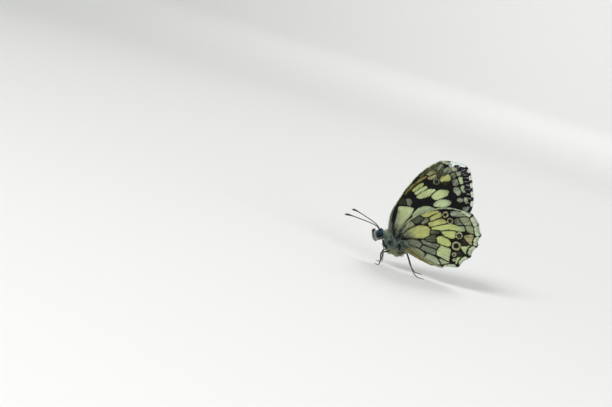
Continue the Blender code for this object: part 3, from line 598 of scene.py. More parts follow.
def tinted(name, roughness, grain=9000.0, depth=0.3, **more):
    """A finish that takes its colour from the mesh, with fine grain in colour and surface."""
    nodes = Nodes(name)
    grit = nodes.noise(nodes.place(), grain)
    shade = nodes.math("MULTIPLY_ADD", grit, 0.7, 0.65)
    nodes.colour(nodes.mix(1.0, nodes.attribute("tint", "Color"), shade, "MULTIPLY"))
    nodes.bump(grit, depth, 0.00006)
    return nodes.set(Roughness=roughness, **more)


# Wings
@functools.lru_cache(maxsize=None)
def wing_curves(key):
    """Front edge, margin, hind edge and base as lines, and the margin drawn in by the fringe."""
    wing = WINGS[key]
    front = spline(wing["front"], CURVE_STEP)
    margin, marks = [np.array(wing["vein_ends"][0], float)], [0.0]
    for k, dip in enumerate(wing["scallops"]):
        start, stop = np.array(wing["vein_ends"][k]), np.array(wing["vein_ends"][k + 1])
        along = stop - start
        long = float(np.linalg.norm(along))
        inward = np.array([-along[1], along[0]]) / long
        count = max(4, round(long / CURVE_STEP))
        for u in np.arange(1, count + 1) / count:
            margin.append(start + along * u + inward * dip * math.sin(math.pi * u))
            marks.append(k + u)
    margin, marks = np.array(margin), np.array(marks)
    for _ in range(3):
        margin[1:-1] = (margin[:-2] + 2 * margin[1:-1] + margin[2:]) / 4
    inward = turned(unit(np.gradient(margin, axis=0)))
    ends = np.minimum(1.0, np.minimum(np.arange(len(margin)), np.arange(len(margin))[::-1]) / 8)
    drawn = margin + inward * (wing["fringe"] * ends)[:, None]
    hind = spline(wing["hind"], CURVE_STEP)[::-1]
    return {"front": front, "margin": margin, "drawn": drawn, "marks": marks, "inward": inward, "hind": hind,
            "base": np.array(wing["base"], float)}


@functools.lru_cache(maxsize=None)
def wing_grid(key):
    """Chart places of a grid stretched between the wing's four edges."""
    along, across = WINGS[key]["cells"]
    lines = wing_curves(key)
    front, hind = spread(lines["front"], along), spread(lines["hind"], along)
    base, far = spread(lines["base"], across), spread(lines["drawn"], across)
    u = np.linspace(0, 1, along + 1)[:, None, None]
    v = np.linspace(0, 1, across + 1)[None, :, None]
    corners = (1 - v) * ((1 - u) * front[0] + u * front[-1]) + v * ((1 - u) * hind[0] + u * hind[-1])
    return (1 - v) * front[:, None] + v * hind[:, None] + (1 - u) * base[None] + u * far[None] - corners


def vein_lines(wing):
    return {name: spline(points, 0.5) for name, points in wing["veins"].items()}


def vein_relief(wing, places):
    """Raised profile of the veins, from 0 to 1."""
    raised = np.zeros(len(places))
    for line in vein_lines(wing).values():
        gap, along = to_line(places, line)
        width = 0.3 - 0.12 * along / (len(line) - 1)
        raised = np.maximum(raised, np.where(gap < width, 0.5 + 0.5 * np.cos(math.pi * gap / width), 0.0))
    return raised


def vein_gap(wing, places):
    """Distance to the nearest vein."""
    return np.min([to_line(places, line)[0] for line in vein_lines(wing).values()], axis=0)


def margin_place(key, places):
    """Depth inside the margin, and the place along it counted in spaces between vein ends."""
    lines = wing_curves(key)
    depth, at = to_line(places, lines["margin"])
    return depth, np.interp(at, np.arange(len(lines["marks"])), lines["marks"])


def lay_over(edge, tint, *layers):
    """Lays fields and their tones over the pattern. Their colours go into tint itself."""
    for field, tone in layers:
        tint[field > edge] = linear(tone)
        edge = np.maximum(edge, field)
    return edge


def paint_forewing_edges(places, edge, tint):
    """Chequered fringe, white tip, pale front line, and the margin's dark band with short pale strokes of
    painted sheen at its veins and midway between them.
    """
    depth, at = margin_place("fore", places)
    middle = np.abs(at % 1.0 - 0.5)
    narrow = np.interp(at, [2.0, 3.5, 4.5, 5.5, 7.0], [2.3, 1.9, 2.2, 1.9, 2.2])
    tooth = 0.66 - np.hypot(depth, middle * narrow)
    tip = np.minimum(0.66 - depth, np.minimum(at - 0.02, 1.35 - at) * 2.0)
    tooth = np.where(at < 2.0, np.maximum(tooth, tip), tooth)
    tooth = np.where(at > 7.0, -1.0, tooth)
    front, s = to_line(places, wing_curves("fore")["front"])
    s = s * CURVE_STEP
    line = 0.2 + 0.1 * np.exp(-s / 3.0) - front
    edge = np.minimum(edge, np.where((depth < 0.95) & (at > 0.3), depth - 0.95, 9.0))
    edge = np.minimum(edge, np.where((front < 1.0) & (s < 23.5), front - 0.45, 9.0))
    edge = lay_over(edge, tint, (tooth, "white"), (line, "border"))
    tint = blend(tint, linear((214, 222, 188)), smoothstep(1.3, 2.0, at) * (tooth >= edge) * 0.75)
    inner = np.interp(at, [0.0, 1.0, 2.5, 4.0, 6.0, 8.0], [2.4, 2.7, 2.5, 2.2, 1.9, 1.5])
    # Painted sheen: short pale lilac strokes on the dark band, at each vein and midway between veins.
    broken = 0.6 + 0.4 * np.sin(at * 5.0 + 4.0 * depth)
    painted_sheen = smoothstep(0.55, 0.95, np.cos(at * 4 * math.pi + 0.8 * depth)) * broken
    painted_sheen *= smoothstep(0.55, 0.8, depth) * smoothstep(inner - 0.1, inner - 0.5, depth)
    tip_zone = smoothstep(19.5, 21.0, places[:, 0]) * smoothstep(1.0, -0.5, places[:, 1])
    tip_zone *= smoothstep(2.0, 3.0, depth)
    ground = blend(linear("ink"), linear((54, 52, 40)), tip_zone)
    # The dark band's colour, with the painted sheen blended over it.
    return edge, tint, blend(ground, linear((150, 150, 164)), painted_sheen * 0.85)


def paint_hindwing_edges(places, edge, tint):
    """Pale border outside a dark line, with a dark wedge across it where a vein reaches the margin."""
    lines = wing_curves("hind")
    depth, at = margin_place("hind", places)
    middle = 1.0 - np.abs(2.0 * (at % 1.0) - 1.0) ** 2
    border = np.interp(at, [0.0, 1.0, 2.0, 2.9, 3.1, 4.0, 5.0, 5.5, 7.0],
                       [0.75, 1.15, 1.25, 1.3, 1.1, 1.15, 1.1, 0.95, 0.6])
    border *= 1.0 - np.interp(at, [0.0, 2.5, 3.5, 7.0], [0.08, 0.15, 0.5, 0.5]) * (1.0 - middle)
    line = np.interp(at, [0.0, 2.5, 3.5, 7.0], [0.24, 0.28, 0.46, 0.42])
    wedge = np.interp(np.round(at), np.arange(8), [0.0, 0.13, 0.075, 0.14, 0.17, 0.21, 0.22, 0.08])
    near_end = (np.abs(at - np.round(at)) - wedge * (0.75 + 0.35 * depth / border)) * 3.2
    edge = np.minimum(edge, depth - (border + line))
    fringe = np.minimum(border - depth, near_end)
    front, s = to_line(places, lines["front"])
    rim = 0.3 * smoothstep(3.6, 6.5, s * CURVE_STEP) - front
    edge = np.minimum(edge, np.where(front < 0.55, front - 0.42, 9.0))
    edge = np.minimum(edge, to_line(places, lines["hind"])[0] - 0.26)
    edge = lay_over(edge, tint, (fringe, "border"), (rim, "mist"))
    return edge, tint, one_tint("ink", places)


def paint(key, places):
    """Distance into pale scales (positive) or dark ones, and both colours, on a closed wing's outer face."""
    wing = WINGS[key]
    first = np.full(len(places), -MARK_REACH)
    second = first.copy()
    tint = one_tint("cream", places)
    for tone, points in wing["marks"]:
        field = outline_field(places, spline(points, 0.35, closed=True))
        field += wing["dusky_grow"] if tone in INK_TONES else 0.0
        best = field > first
        second = np.where(best, first, np.maximum(second, field))
        first = np.maximum(first, field)
        tint[best] = linear(tone)
    tint *= np.interp(np.minimum(first + wing["grow"], (first - second) / 2), *SHADE_IN_MARK)[:, None]
    edge = np.minimum(first + wing["grow"], (first - second) / 2 - wing["line"])
    for centre, radius, tone, share in wing["washes"]:
        gap = np.hypot(*(places - np.array(centre)).T) / radius
        tint = blend(tint, linear(tone), share * np.exp(-gap ** 2))
    edge, tint, dark = (paint_forewing_edges if key == "fore" else paint_hindwing_edges)(places, edge, tint)
    for centre, radius, ring, tone in wing["spots"]:
        gap = np.hypot(*(places - np.array(centre)).T)
        near = gap < radius + 0.14
        edge = np.where(near, ring / 2 - np.abs(gap - radius + ring / 2), edge)
        tint[near] = linear(tone)
        iris = smoothstep(radius * 0.4, radius * 0.6, gap) * (gap < radius - ring / 2)
        dark = blend(dark, linear((58, 54, 36)), iris * 0.8)
        spark = 0.08 - gap
        edge = np.maximum(edge, spark)
        tint[spark > -0.06] = linear((74, 82, 96))
    root_gap = np.hypot(places[:, 0], places[:, 1] + 0.6)
    root_shade = 0.9 * np.exp(-(root_gap / (3.4 if key == "hind" else 5.3)) ** 2)
    tint = blend(tint, linear((106, 112, 92)), root_shade)
    return edge, tint, dark


def paint_inside(key, places):
    """The upper faces, which lie against each other: larger cream patches on black."""
    wing = WINGS[key]
    edge = np.full(len(places), -MARK_REACH)
    for tone, points in wing["marks"]:
        if tone not in INK_TONES:
            edge = np.maximum(edge, outline_field(places, spline(points, 0.35, closed=True)) + 0.12)
    depth, at = margin_place(key, places)
    edge = np.maximum(edge, np.minimum(0.4 - depth, (0.25 - np.abs(at % 1.0 - 0.5)) * 2.0))
    return edge, one_tint("upper_white", places), one_tint((26, 23, 22), places)


def middle_y(wing, places, x, z):
    """How far the wing's middle stands out from the body's middle plane. Its base bends in to the body."""
    reach = np.hypot(places[:, 0], places[:, 1])
    spread_y = wing["root_y"] * np.exp(-(reach / wing["root_reach"]) ** wing["root_power"])
    gap, _ = to_line(np.stack([x, z], axis=1), np.array(ABDOMEN_ENDS, float))
    belly = wing["belly_y"] * np.clip((3.4 - gap) / 1.6, 0.0, 1.0)
    tuck = 0.95 * np.exp(-(reach / 1.1) ** 2)
    return wing["far_y"] + spread_y + belly - tuck


def wing_world(key, places, side, off=0.0):
    """Chart places as millimetres in the part's frame, off being the distance out from the wing's middle."""
    wing = WINGS[key]
    angle = math.radians(wing["axis_deg"])
    s, t = places[:, 0], places[:, 1]
    x = wing["root"][0] + s * math.cos(angle) + t * math.sin(angle)
    z = wing["root"][1] + s * math.sin(angle) - t * math.cos(angle)
    y = side * (middle_y(wing, places, x, z) + off)
    return np.stack([x - CENTRE_X, y, z], axis=1)


@functools.lru_cache(maxsize=None)
def painted_grid(key):
    """A wing's grid, the paint of both its faces, its veins' height and how deep it sags between them."""
    wing, places = WINGS[key], wing_grid(key).reshape(-1, 2)
    flute = 0.07 * smoothstep(0.1, 1.3, vein_gap(wing, places))
    return places, paint(key, places), paint_inside(key, places), vein_relief(wing, places), flute


def chart_spot(key, places):
    """Places of a wing's chart brought between 0 and 1."""
    return (places - wing_grid(key).reshape(-1, 2).min(0)) / WINGS[key]["scale"]


def bake_spot(key, places):
    """Where places of a wing's chart lie on its unwrap for baking, on the outer faces' part."""
    return chart_spot(key, places) * np.array(CHART_PART) + np.array(CHART_SHIFT)


def build_wing(key, word, material):
    """One wing: a thin closed plate with raised veins, sagging a little between them."""
    wing, side, facts = WINGS[key], SIDES[word], settings("wings")
    along, across = wing["cells"]
    name = wing["node"] + word + "_scales"
    shape = bmesh.new()
    bmesh.ops.create_grid(shape, x_segments=along, y_segments=across, size=0.5)
    bmesh.ops.solidify(shape, geom=shape.faces[:], thickness=PLATE)
    mesh = mesh_from_bmesh(name, shape)
    flat = get_points(mesh)
    column, row = np.rint((flat[:, :2] + 0.5) * (along, across)).astype(int).T
    cell = column * (across + 1) + row
    outer = flat[:, 2] > -PLATE / 2
    places, out_paint, in_paint, raised, flute = painted_grid(key)
    half = facts.half_thickness / MM + facts.vein_height / MM * raised[cell]
    off = np.where(outer, half, -half) - flute[cell]
    set_points(mesh, wing_world(key, places[cell], side, off) * MM)
    face_outwards(mesh)
    edge, pale, dark = (np.where(outer[:, None], np.atleast_2d(a.T).T[cell], np.atleast_2d(b.T).T[cell])
                        for a, b in zip(out_paint, in_paint))
    put_value(mesh, "edge", edge[:, 0])
    put_colour(mesh, "pale", pale)
    put_colour(mesh, "dark", dark)
    angle, reach = np.arctan2(places[:, 1], places[:, 0]), np.hypot(*places.T)
    ray = np.stack([angle * STREAKS_PER_RADIAN, reach * STREAKS_PER_MM, side + 0 * angle], axis=1)
    put_vector(mesh, "ray", ray[cell])
    corner = loop_vertices(mesh)
    put_uv(mesh, "Chart", chart_spot(key, places[cell[corner]]))
    starts, sizes = face_corners(mesh)
    inner_face = np.repeat(np.add.reduceat(outer[corner].astype(int), starts), sizes) == 0
    put_uv(mesh, "OFBake", bake_spot(key, places[cell[corner]]) + np.outer(inner_face, INNER_SHIFT))
    add_piece(name, mesh, material, [wing["node"] + word])


def wing_material(name):
    """Dusty scales: the pattern's edge is broken up by single scales, which lie in rows across the wing."""
    facts = settings("wings")
    nodes = Nodes(name)
    chart = nodes.add("ShaderNodeUVMap", uv_map="Chart").outputs["UV"]
    waves = {"Vector": chart, "Scale": facts.rows, "Distortion": 1.2, "Detail": 2.0, "Detail Scale": 3.0}
    rows = nodes.add("ShaderNodeTexWave", waves, bands_direction="X").outputs["Fac"]
    place = nodes.place()
    grit, cloud = nodes.noise(place, 14000.0, 2.0), nodes.noise(place, 900.0)
    clumps = nodes.math("SUBTRACT", nodes.noise(place, 3600.0, 1.0), 0.5)
    streaks = nodes.math("SUBTRACT", nodes.noise(nodes.attribute("ray", "Vector"), 1.0, 2.0), 0.5)
    edge = nodes.attribute("edge", "Fac")
    for field, share in ((nodes.math("SUBTRACT", grit, 0.5), 0.26), (clumps, 0.3), (streaks, 0.4)):
        edge = nodes.math("MULTIPLY_ADD", field, share, edge)
    pale = nodes.attribute("pale", "Color")
    dusky = nodes.stretch(nodes.attribute("pale", "Fac"), 0.1, 0.3, 3.4, 1.1)
    lift = nodes.stretch(nodes.math("ADD", grit, cloud), 0.7, 1.3, 0.8, 1.12)
    streaked = nodes.math("MULTIPLY_ADD", streaks, dusky, 1.0)
    rowed = nodes.math("MULTIPLY_ADD", rows, 0.12, 0.94)
    for shade in (streaked, lift, rowed):
        pale = nodes.mix(1.0, pale, shade, "MULTIPLY")
    dust = nodes.math("MULTIPLY", grit, 0.03)
    dark = nodes.mix(dust, nodes.attribute("dark", "Color"), (0.2, 0.2, 0.19, 1.0))
    nodes.colour(nodes.mix(nodes.stretch(edge, -0.08, 0.06), dark, pale))
    nodes.bump(nodes.math("MULTIPLY_ADD", rows, 0.5, grit), 0.35, 0.00005)
    return nodes.set(Roughness=0.75, Specular_IOR_Level=0.08)


# Hair
def hair_piece(name, material, kind, roots, lie, lengths, widths, base_tint, tip_tint, uv, droop=0.0):
    """Thin three-sided tapering tufts, each closed, joined into one piece. All sizes in millimetres."""
    rng = np.random.default_rng(SEEDS[kind])
    count = len(roots)
    lie = unit(lie)
    side = unit(np.cross(lie, rng.normal(size=(count, 3))))
    third = np.cross(lie, side)
    bend = rng.normal(size=(count, 3)) * 0.06 + np.array([0.0, 0.0, -droop])
    rings = []
    for share, wide in ((-0.06, 1.0), (0.5, 0.75)):
        centre = roots + lie * (lengths * share)[:, None] + bend * (lengths * max(0.0, share) ** 2)[:, None]
        for k in range(3):
            turn = 2 * math.pi * k / 3
            offset = side * math.cos(turn) + third * math.sin(turn) * TUFT_FLATNESS
            rings.append(centre + offset * np.reshape(widths * wide / 2, (-1, 1)))
    tip = roots + lie * lengths[:, None] + bend * lengths[:, None]
    points = np.stack(rings + [tip], axis=1).reshape(-1, 3)
    pattern = [(0, 2, 1)]
    for k in range(3):
        n = (k + 1) % 3
        pattern += [(k, n, n + 3), (k, n + 3, k + 3), (k + 3, n + 3, 6)]
    pattern = np.array(pattern)
    faces = (pattern[None] + 7 * np.arange(count)[:, None, None]).reshape(-1, 3)
    mesh = bpy.data.meshes.new(name)
    mesh.vertices.add(len(points))
    mesh.loops.add(faces.size)
    mesh.polygons.add(len(faces))
    mesh.vertices.foreach_set("co", (points * MM).astype(np.float32).ravel())
    mesh.polygons.foreach_set("loop_start", np.arange(0, faces.size, 3))
    mesh.loops.foreach_set("vertex_index", faces.ravel())
    mesh.update(calc_edges=True)
    share = np.array([0, 0, 0, 0.5, 0.5, 0.5, 1.0])
    tint = blend(base_tint[:, None], tip_tint[:, None], share[None, :].repeat(count, 0))
    put_colour(mesh, "tint", tint.reshape(-1, 3))
    patch = np.array([(0, 0), (1, 0), (0.5, 0.2), (0.2, 0.5), (0.8, 0.5), (0.5, 0.7), (0.5, 1.0)])
    corner = faces.ravel()
    put_uv(mesh, "OFBake", uv[corner // 7] * 0.99 + patch[corner % 7] * TUFT_PATCH)
    add_piece(name, mesh, material)


# Body
def ellipsoid(shape, centre, half, pitch_deg, segments=32, rings=20):
    """Adds an ellipsoid to the bmesh, in millimetres."""
    made = bmesh.ops.create_uvsphere(shape, u_segments=segments, v_segments=rings, radius=1.0)
    turn = Matrix.Rotation(math.radians(pitch_deg), 4, "Y")
    size = Matrix.Diagonal((*half, 1.0))
    place = Matrix.Translation((centre[0] - CENTRE_X, centre[1], centre[2]))
    bmesh.ops.transform(shape, matrix=Matrix.Scale(MM, 4) @ place @ turn @ size, verts=made["verts"])


def abdomen_radius(u):
    swell = (1.0 - 0.55 * u ** 2.6) * (0.72 + 0.28 * min(1.0, u / 0.18))
    round_off = math.sqrt(max(0.0, 1.0 - max(0.0, (u - 0.9) / 0.1) ** 2))
    place = (u * ABDOMEN_SEGMENTS) % 1.0
    groove = 0.09 * math.exp(-((place - 0.97) / 0.07) ** 2) * (0.1 < u < 0.88)
    return swell * round_off - groove - 0.03 * place * (u < 0.88)


def add_abdomen(shape):
    """Starts the bmesh with a profile spun round the abdomen's own axis and laid along the body."""
    (ax, az), (bx, bz) = ABDOMEN_ENDS
    length = math.hypot(bx - ax, bz - az)
    stations = np.linspace(0.0, 1.0, 121)
    verts = [shape.verts.new((max(0.0, abdomen_radius(u)) if 0 < u < 1 else 0.0, 0.0, length * (0.5 - u)))
             for u in stations]
    edges = [shape.edges.new(pair) for pair in zip(verts, verts[1:])]
    bmesh.ops.spin(shape, geom=verts + edges, cent=(0, 0, 0), axis=(0, 0, 1), dvec=(0, 0, 0),
                   angle=2 * math.pi, steps=36, use_merge=True, use_duplicate=False)
    bmesh.ops.remove_doubles(shape, verts=shape.verts[:], dist=1e-6)
    turn = Matrix.Rotation(math.atan2(az - bz, bx - ax) - math.pi / 2, 4, "Y")
    size = Matrix.Diagonal((ABDOMEN_HALF[1], ABDOMEN_HALF[0], 1.0, 1.0))
    place = Matrix.Translation(((ax + bx) / 2 - CENTRE_X, 0.0, (az + bz) / 2))
    bmesh.ops.transform(shape, matrix=Matrix.Scale(MM, 4) @ place @ turn @ size, verts=shape.verts[:])


def abdomen_share(points):
    """How far along the abdomen each point lies, and its height over the abdomen's axis."""
    (ax, az), (bx, bz) = ABDOMEN_ENDS
    axis = np.array([bx - ax, bz - az])
    rel = points[:, [0, 2]] + np.array([CENTRE_X, 0.0]) - np.array([ax, az])
    u = rel @ axis / (axis @ axis)
    over = (rel @ np.array([-axis[1], axis[0]])) / np.linalg.norm(axis)
    return u, over


def body_tint(points):
    """Colour of skin and coat: blue-grey thorax, green-grey below it, ochre abdomen and dark face."""
    x, z = points[:, 0] + CENTRE_X, points[:, 2]
    u, over = abdomen_share(points)
    tint = one_tint((54, 64, 62), points)
    tint = blend(tint, linear((124, 130, 94)), smoothstep(6.6, 4.7, z))
    tint = blend(tint, linear((96, 108, 98)), smoothstep(0.5, -1.2, x) * 0.7)
    belly = blend(linear((192, 188, 126)), linear((74, 68, 46)), smoothstep(0.1, 0.9, over))
    belly = blend(belly, linear((84, 70, 42)), np.exp(-((over + 0.12) / 0.1) ** 2) * 0.7)
    belly = blend(belly, linear((170, 162, 112)), smoothstep(0.78, 0.98, (u * ABDOMEN_SEGMENTS) % 1.0) * 0.5)
    tint = blend(tint, belly, smoothstep(4.8, 6.0, x))
    face = blend(linear((70, 78, 72)), linear((26, 24, 24)), smoothstep(-2.7, -3.2, x))
    return blend(tint, face, smoothstep(-1.3, -1.7, x))


def body_uv(points):
    """The body's own unwrap: round its axis, with the seam below, and along it."""
    x, y, z = points[:, 0], points[:, 1], points[:, 2]
    axis_z = np.interp(x + CENTRE_X, [-4.0, 0.0, 4.6, 14.4], [7.9, 7.7, 6.9, 4.35])
    return np.stack([np.arctan2(y, axis_z - z) / (2 * math.pi) % 1.0 * -1 + 1, (x + 10.5) / 20.5], axis=1)


@functools.lru_cache(maxsize=None)
def skin_mesh():
    """Thorax, neck, head and abdomen as one closed skin."""
    shape = bmesh.new()
    add_abdomen(shape)
    for (x, z), out, half, pitch in BODY_LUMPS:
        for side in ((0.0,) if out == 0.0 else (-1.0, 1.0)):
            ellipsoid(shape, (x, side * out, z), half, pitch)
    bmesh.ops.recalc_face_normals(shape, faces=shape.faces)
    rough = show(bpy.data.objects.new("rough", mesh_from_bmesh("rough", shape)))
    remesh = rough.modifiers.new("Skin", "REMESH")
    remesh.mode = "VOXEL"
    remesh.voxel_size = settings("coat").skin_cell
    remesh.use_smooth_shade = True
    smooth = rough.modifiers.new("Smooth", "SMOOTH")
    smooth.factor = 0.5
    smooth.iterations = 2
    bpy.context.view_layer.update()
    mesh = bpy.data.meshes.new_from_object(rough.evaluated_get(bpy.context.evaluated_depsgraph_get()))
    bpy.data.objects.remove(rough, do_unlink=True)
    return mesh


@functools.lru_cache(maxsize=None)
def skin_samples():
    mesh = skin_mesh()
    points, tris = get_points(mesh) / MM, triangles_of(mesh)
    a, b, c = (points[tris[:, k]] for k in range(3))
    normal = np.cross(b - a, c - a)
    area = np.linalg.norm(normal, axis=1) / 2
    return a, b, c, normal / np.maximum(2 * area, 1e-12)[:, None], area


def scatter(count, keep, kind):
    """Random places on the skin, as many as keep(points) allows, with the skin's normal there."""
    a, b, c, normal, area = skin_samples()
    rng = np.random.default_rng(SEEDS[kind])
    weight = area * keep((a + b + c) / 3)
    pick = rng.choice(len(area), size=count, p=weight / weight.sum())
    r, q = np.sqrt(rng.random(count))[:, None], rng.random(count)[:, None]
    return a[pick] * (1 - r) + b[pick] * (r * (1 - q)) + c[pick] * (r * q), normal[pick], rng


def wander(points, pitch, strength):
    """A smooth change of direction from place to place, which gathers the hair in locks."""
    phase = points[:, [1, 2, 0]] * (2 * math.pi / pitch)
    return strength * np.sin(phase + 1.7 * np.sin(phase[:, [1, 2, 0]] * 0.7))


def lie_along(normal, flow, lift, rng, wild=0.15):
    """Hair directions: the flow laid on the skin, raised from it by lift."""
    flat = unit(flow - normal * np.einsum("ij,ij->i", flow, normal)[:, None])
    return flat + normal * lift[:, None] + rng.normal(size=normal.shape) * wild


def thorax_patches(points):
    """Darker (negative) or paler hair in places of the thorax, and painted shade behind the hindwing's root.
    """
    flat = np.stack([points[:, 0] + CENTRE_X, points[:, 2]], axis=1)
    return sum(amount * np.exp(-(to_line(flat, np.array([start, stop]))[0] / half) ** 2)
               for start, stop, half, amount in THORAX_PATCHES)


def coat_thorax(material):
    """Blue-grey hair in locks, with darker and paler patches and painted shade behind the hindwing's root,
    down the sides of the thorax.
    """
    facts = settings("coat")

    def keep(points):
        x = points[:, 0] + CENTRE_X
        return ((x > -1.4) & (x < 5.6)).astype(float) * smoothstep(5.6, 4.4, x)

    roots, normal, rng = scatter(facts.thorax_tufts, keep, "thorax")
    x, z = roots[:, 0] + CENTRE_X, roots[:, 2]
    down = smoothstep(7.6, 5.6, z)
    up = smoothstep(8.4, 9.8, z)
    flow = np.stack([0.75 + 0 * x, 0 * x, 0.9 * up - 1.1 * down - 0.2], axis=1)
    lie = lie_along(normal, flow + wander(roots, 0.9, 0.45), 0.3 + 0.3 * rng.random(len(x)), rng)
    length = facts.thorax_length / MM * (0.6 + 0.6 * rng.random(len(x)))
    length *= 1.0 - 0.35 * smoothstep(-0.5, -1.3, x)
    width = facts.hair_width / MM * (0.8 + 0.6 * rng.random(len(x)))
    base = body_tint(roots)
    chance = rng.random(len(x))
    low = smoothstep(6.6, 4.7, z + 0.5 * (rng.random(len(x)) - 0.5))
    locks = wander(roots, 1.3, 0.3)[:, 0] + wander(roots, 0.7, 0.4)[:, 1]
    patch = locks * (1 - 0.6 * low) + 0.7 * thorax_patches(roots)
    light = 0.48 + 0.35 * low + 0.25 * smoothstep(0.6, -0.8, x) + 0.85 * patch
    tip = blend(linear((172, 192, 180)), linear((186, 190, 144)), low)
    tip = np.where((chance > light)[:, None], base * 1.1, tip)
    tip = np.where((chance > 0.78 + 0.9 * patch)[:, None], linear((12, 13, 16)), tip)
    width = width * np.where(chance < light, 1.35, 1.0)
    root_shade = np.clip(0.72 + 0.4 * low + 0.65 * patch, 0.12, 1.7)[:, None]
    hair_piece("coat_thorax", material, "thorax", roots, lie, length, width, base * root_shade, tip,
               body_uv(roots), 0.15)


def coat_collar(material):
    """Long pale hair that rises from the front of the thorax over the neck."""
    facts = settings("coat")

    def keep(points):
        x, z = points[:, 0] + CENTRE_X, points[:, 2]
        return ((x > -1.5) & (x < 0.9)).astype(float) * smoothstep(7.6, 8.6, z)

    roots, normal, rng = scatter(facts.collar_tufts, keep, "collar")
    x = roots[:, 0] + CENTRE_X
    flow = np.stack([-0.5 + 0.5 * (x + 1.5) / 2.4, 0 * x, 1.0 + 0 * x], axis=1)
    lie = lie_along(normal, flow + wander(roots, 0.8, 0.3), 0.5 + 0.4 * rng.random(len(x)), rng)
    length = facts.thorax_length / MM * (0.7 + 0.7 * rng.random(len(x)))
    width = facts.hair_width / MM * (0.6 + 0.5 * rng.random(len(x)))
    base = one_tint((92, 104, 92), roots)
    pale = rng.random(len(x)) < 0.8
    tip = np.where(pale[:, None], linear((182, 196, 172)), linear((30, 34, 32)))
    hair_piece("coat_collar", material, "collar", roots, lie, length, width, base, tip,
               body_uv(roots), 0.1)


def coat_head(material):
    """Short hair that parts round the eyes, with a pale rim behind them and a dark brow and crown."""
    facts = settings("coat")
    eye = np.array([EYE_CENTRE[0] - CENTRE_X, EYE_OUT, EYE_CENTRE[1]])
    half = np.array(EYE_HALF)

    def eye_gap(points):
        mirrored = np.stack([points[:, 0], np.abs(points[:, 1]), points[:, 2]], axis=1)
        return np.linalg.norm((mirrored - eye) / half, axis=1)

    def keep(points):
        x = points[:, 0] + CENTRE_X
        return ((x < -1.25) & (eye_gap(points) > 1.02)).astype(float)

    roots, normal, rng = scatter(facts.head_tufts, keep, "head")
    x, z = roots[:, 0] + CENTRE_X, roots[:, 2]
    front, top = smoothstep(-2.6, -3.1, x), smoothstep(8.6, 9.0, z)
    round_eye = smoothstep(1.75, 1.1, eye_gap(roots))
    away = unit((roots - eye) * np.array([1.0, 0.0, 1.0]) / half)
    flow = np.stack([0.8 - 1.8 * front, 0 * x, -0.5 * front + 0.3 * top], axis=1)
    flow = flow * (1 - round_eye)[:, None] + away * round_eye[:, None] * 1.5
    lie = lie_along(normal, flow, (0.55 + 0.5 * top + 0.4 * front) * (1 - 0.7 * round_eye), rng)
    length = (0.42 + 0.35 * top + 0.35 * front) * (0.7 + 0.5 * rng.random(len(x))) * (1 - 0.4 * round_eye)
    width = facts.hair_width / MM * (0.6 + 0.4 * rng.random(len(x)))
    base = body_tint(roots)
    tip = blend(linear((92, 100, 92)), linear((22, 20, 20)), smoothstep(-2.9, -3.3, x))
    ring = smoothstep(1.7, 1.35, eye_gap(roots)) * smoothstep(8.9, 8.5, z) * smoothstep(-1.6, -2.0, x)
    pale = (rng.random(len(x)) < 0.4) & (x > -2.4)
    tip = np.where(pale[:, None], linear((164, 176, 166)), tip)
    crown = smoothstep(8.75, 8.95, z) * smoothstep(-2.0, -2.3, x)
    tip, base = (blend(tint, linear((24, 24, 26)), crown) for tint in (tip, base))
    tip, base = blend(tip, linear((152, 186, 178)), ring), blend(base, linear((120, 150, 144)), ring)
    hair_piece("coat_head", material, "head", roots, lie, length, width, base, tip,
               body_uv(roots), 0.05)


def coat_abdomen(material):
    """Short flat hair along the abdomen, longer at both its ends."""
    facts = settings("coat")

    def keep(points):
        return smoothstep(4.6, 5.6, points[:, 0] + CENTRE_X)

    roots, normal, rng = scatter(facts.abdomen_tufts, keep, "abdomen")
    u = abdomen_share(roots)[0]
    flow = np.stack([1.0 + 0 * u, 0 * u, -0.25 + 0 * u], axis=1)
    lie = lie_along(normal, flow, 0.12 + 0.12 * rng.random(len(u)), rng, 0.08)
    length = 0.42 * (0.6 + 0.6 * rng.random(len(u))) * (1 + 0.9 * smoothstep(0.25, 0.0, u) + 0.5 * (u > 0.9))
    width = facts.hair_width / MM * (1.0 + 0.5 * rng.random(len(u)))
    base = body_tint(roots)
    shade = (0.75 + 0.6 * rng.random(len(u)))[:, None]
    hair_piece("coat_abdomen", material, "abdomen", roots, lie, length, width, base * 0.8,
               base * shade, body_uv(roots), 0.05)


def coat_wing_bases(material):
    """Long hair over the wing bases, rooted on the wings' outer faces and lying up and back along them."""
    facts = settings("coat")
    parts = []
    rng = np.random.default_rng(SEEDS["wing_bases"])
    for key, count, reach in (("fore", facts.base_tufts, 3.4), ("hind", facts.base_tufts, 3.6)):
        wing, grid = WINGS[key], wing_grid(key).reshape(-1, 2)
        near = grid[np.hypot(*grid.T) < reach]
        for side in SIDES.values():
            pick = near[rng.integers(0, len(near), count)] + rng.normal(size=(count, 2)) * 0.05
            fall = np.hypot(*pick.T) / reach
            pick = pick[rng.random(count) > fall * 0.8]
            ahead = pick + np.array([0.6, 0.0]) + pick * 0.15
            root = wing_world(key, pick, side, 0.05)
            lie = wing_world(key, ahead, side, 0.2) - root + rng.normal(size=root.shape) * 0.1
            length = (1.5 - 0.6 * np.hypot(*pick.T) / reach) * (0.6 + 0.6 * rng.random(len(pick)))
            stripe = to_line(pick, np.array(wing["dark_stripe"]))[0]
            pale = rng.random(len(pick)) < np.where(vein_gap(wing, pick) < 0.25, 0.35, 0.9) * (stripe > 0.4)
            tip = np.where(pale[:, None], linear((160, 168, 146)), linear((30, 34, 32)))
            base = np.where(pale[:, None], linear((104, 114, 102)), linear((22, 26, 26)))
            spot = pick / 60 + np.array([0.3 if key == "fore" else 0.6, 0.3 if side < 0 else 0.7])
            parts.append((root, lie, length, base, tip, spot))
    root, lie, length, base, tip, spot = (np.concatenate(column) for column in zip(*parts))
    width = facts.hair_width / MM
    hair_piece("coat_wing_bases", material, "wing_bases", root, lie, length, width, base, tip, spot,
               0.05)


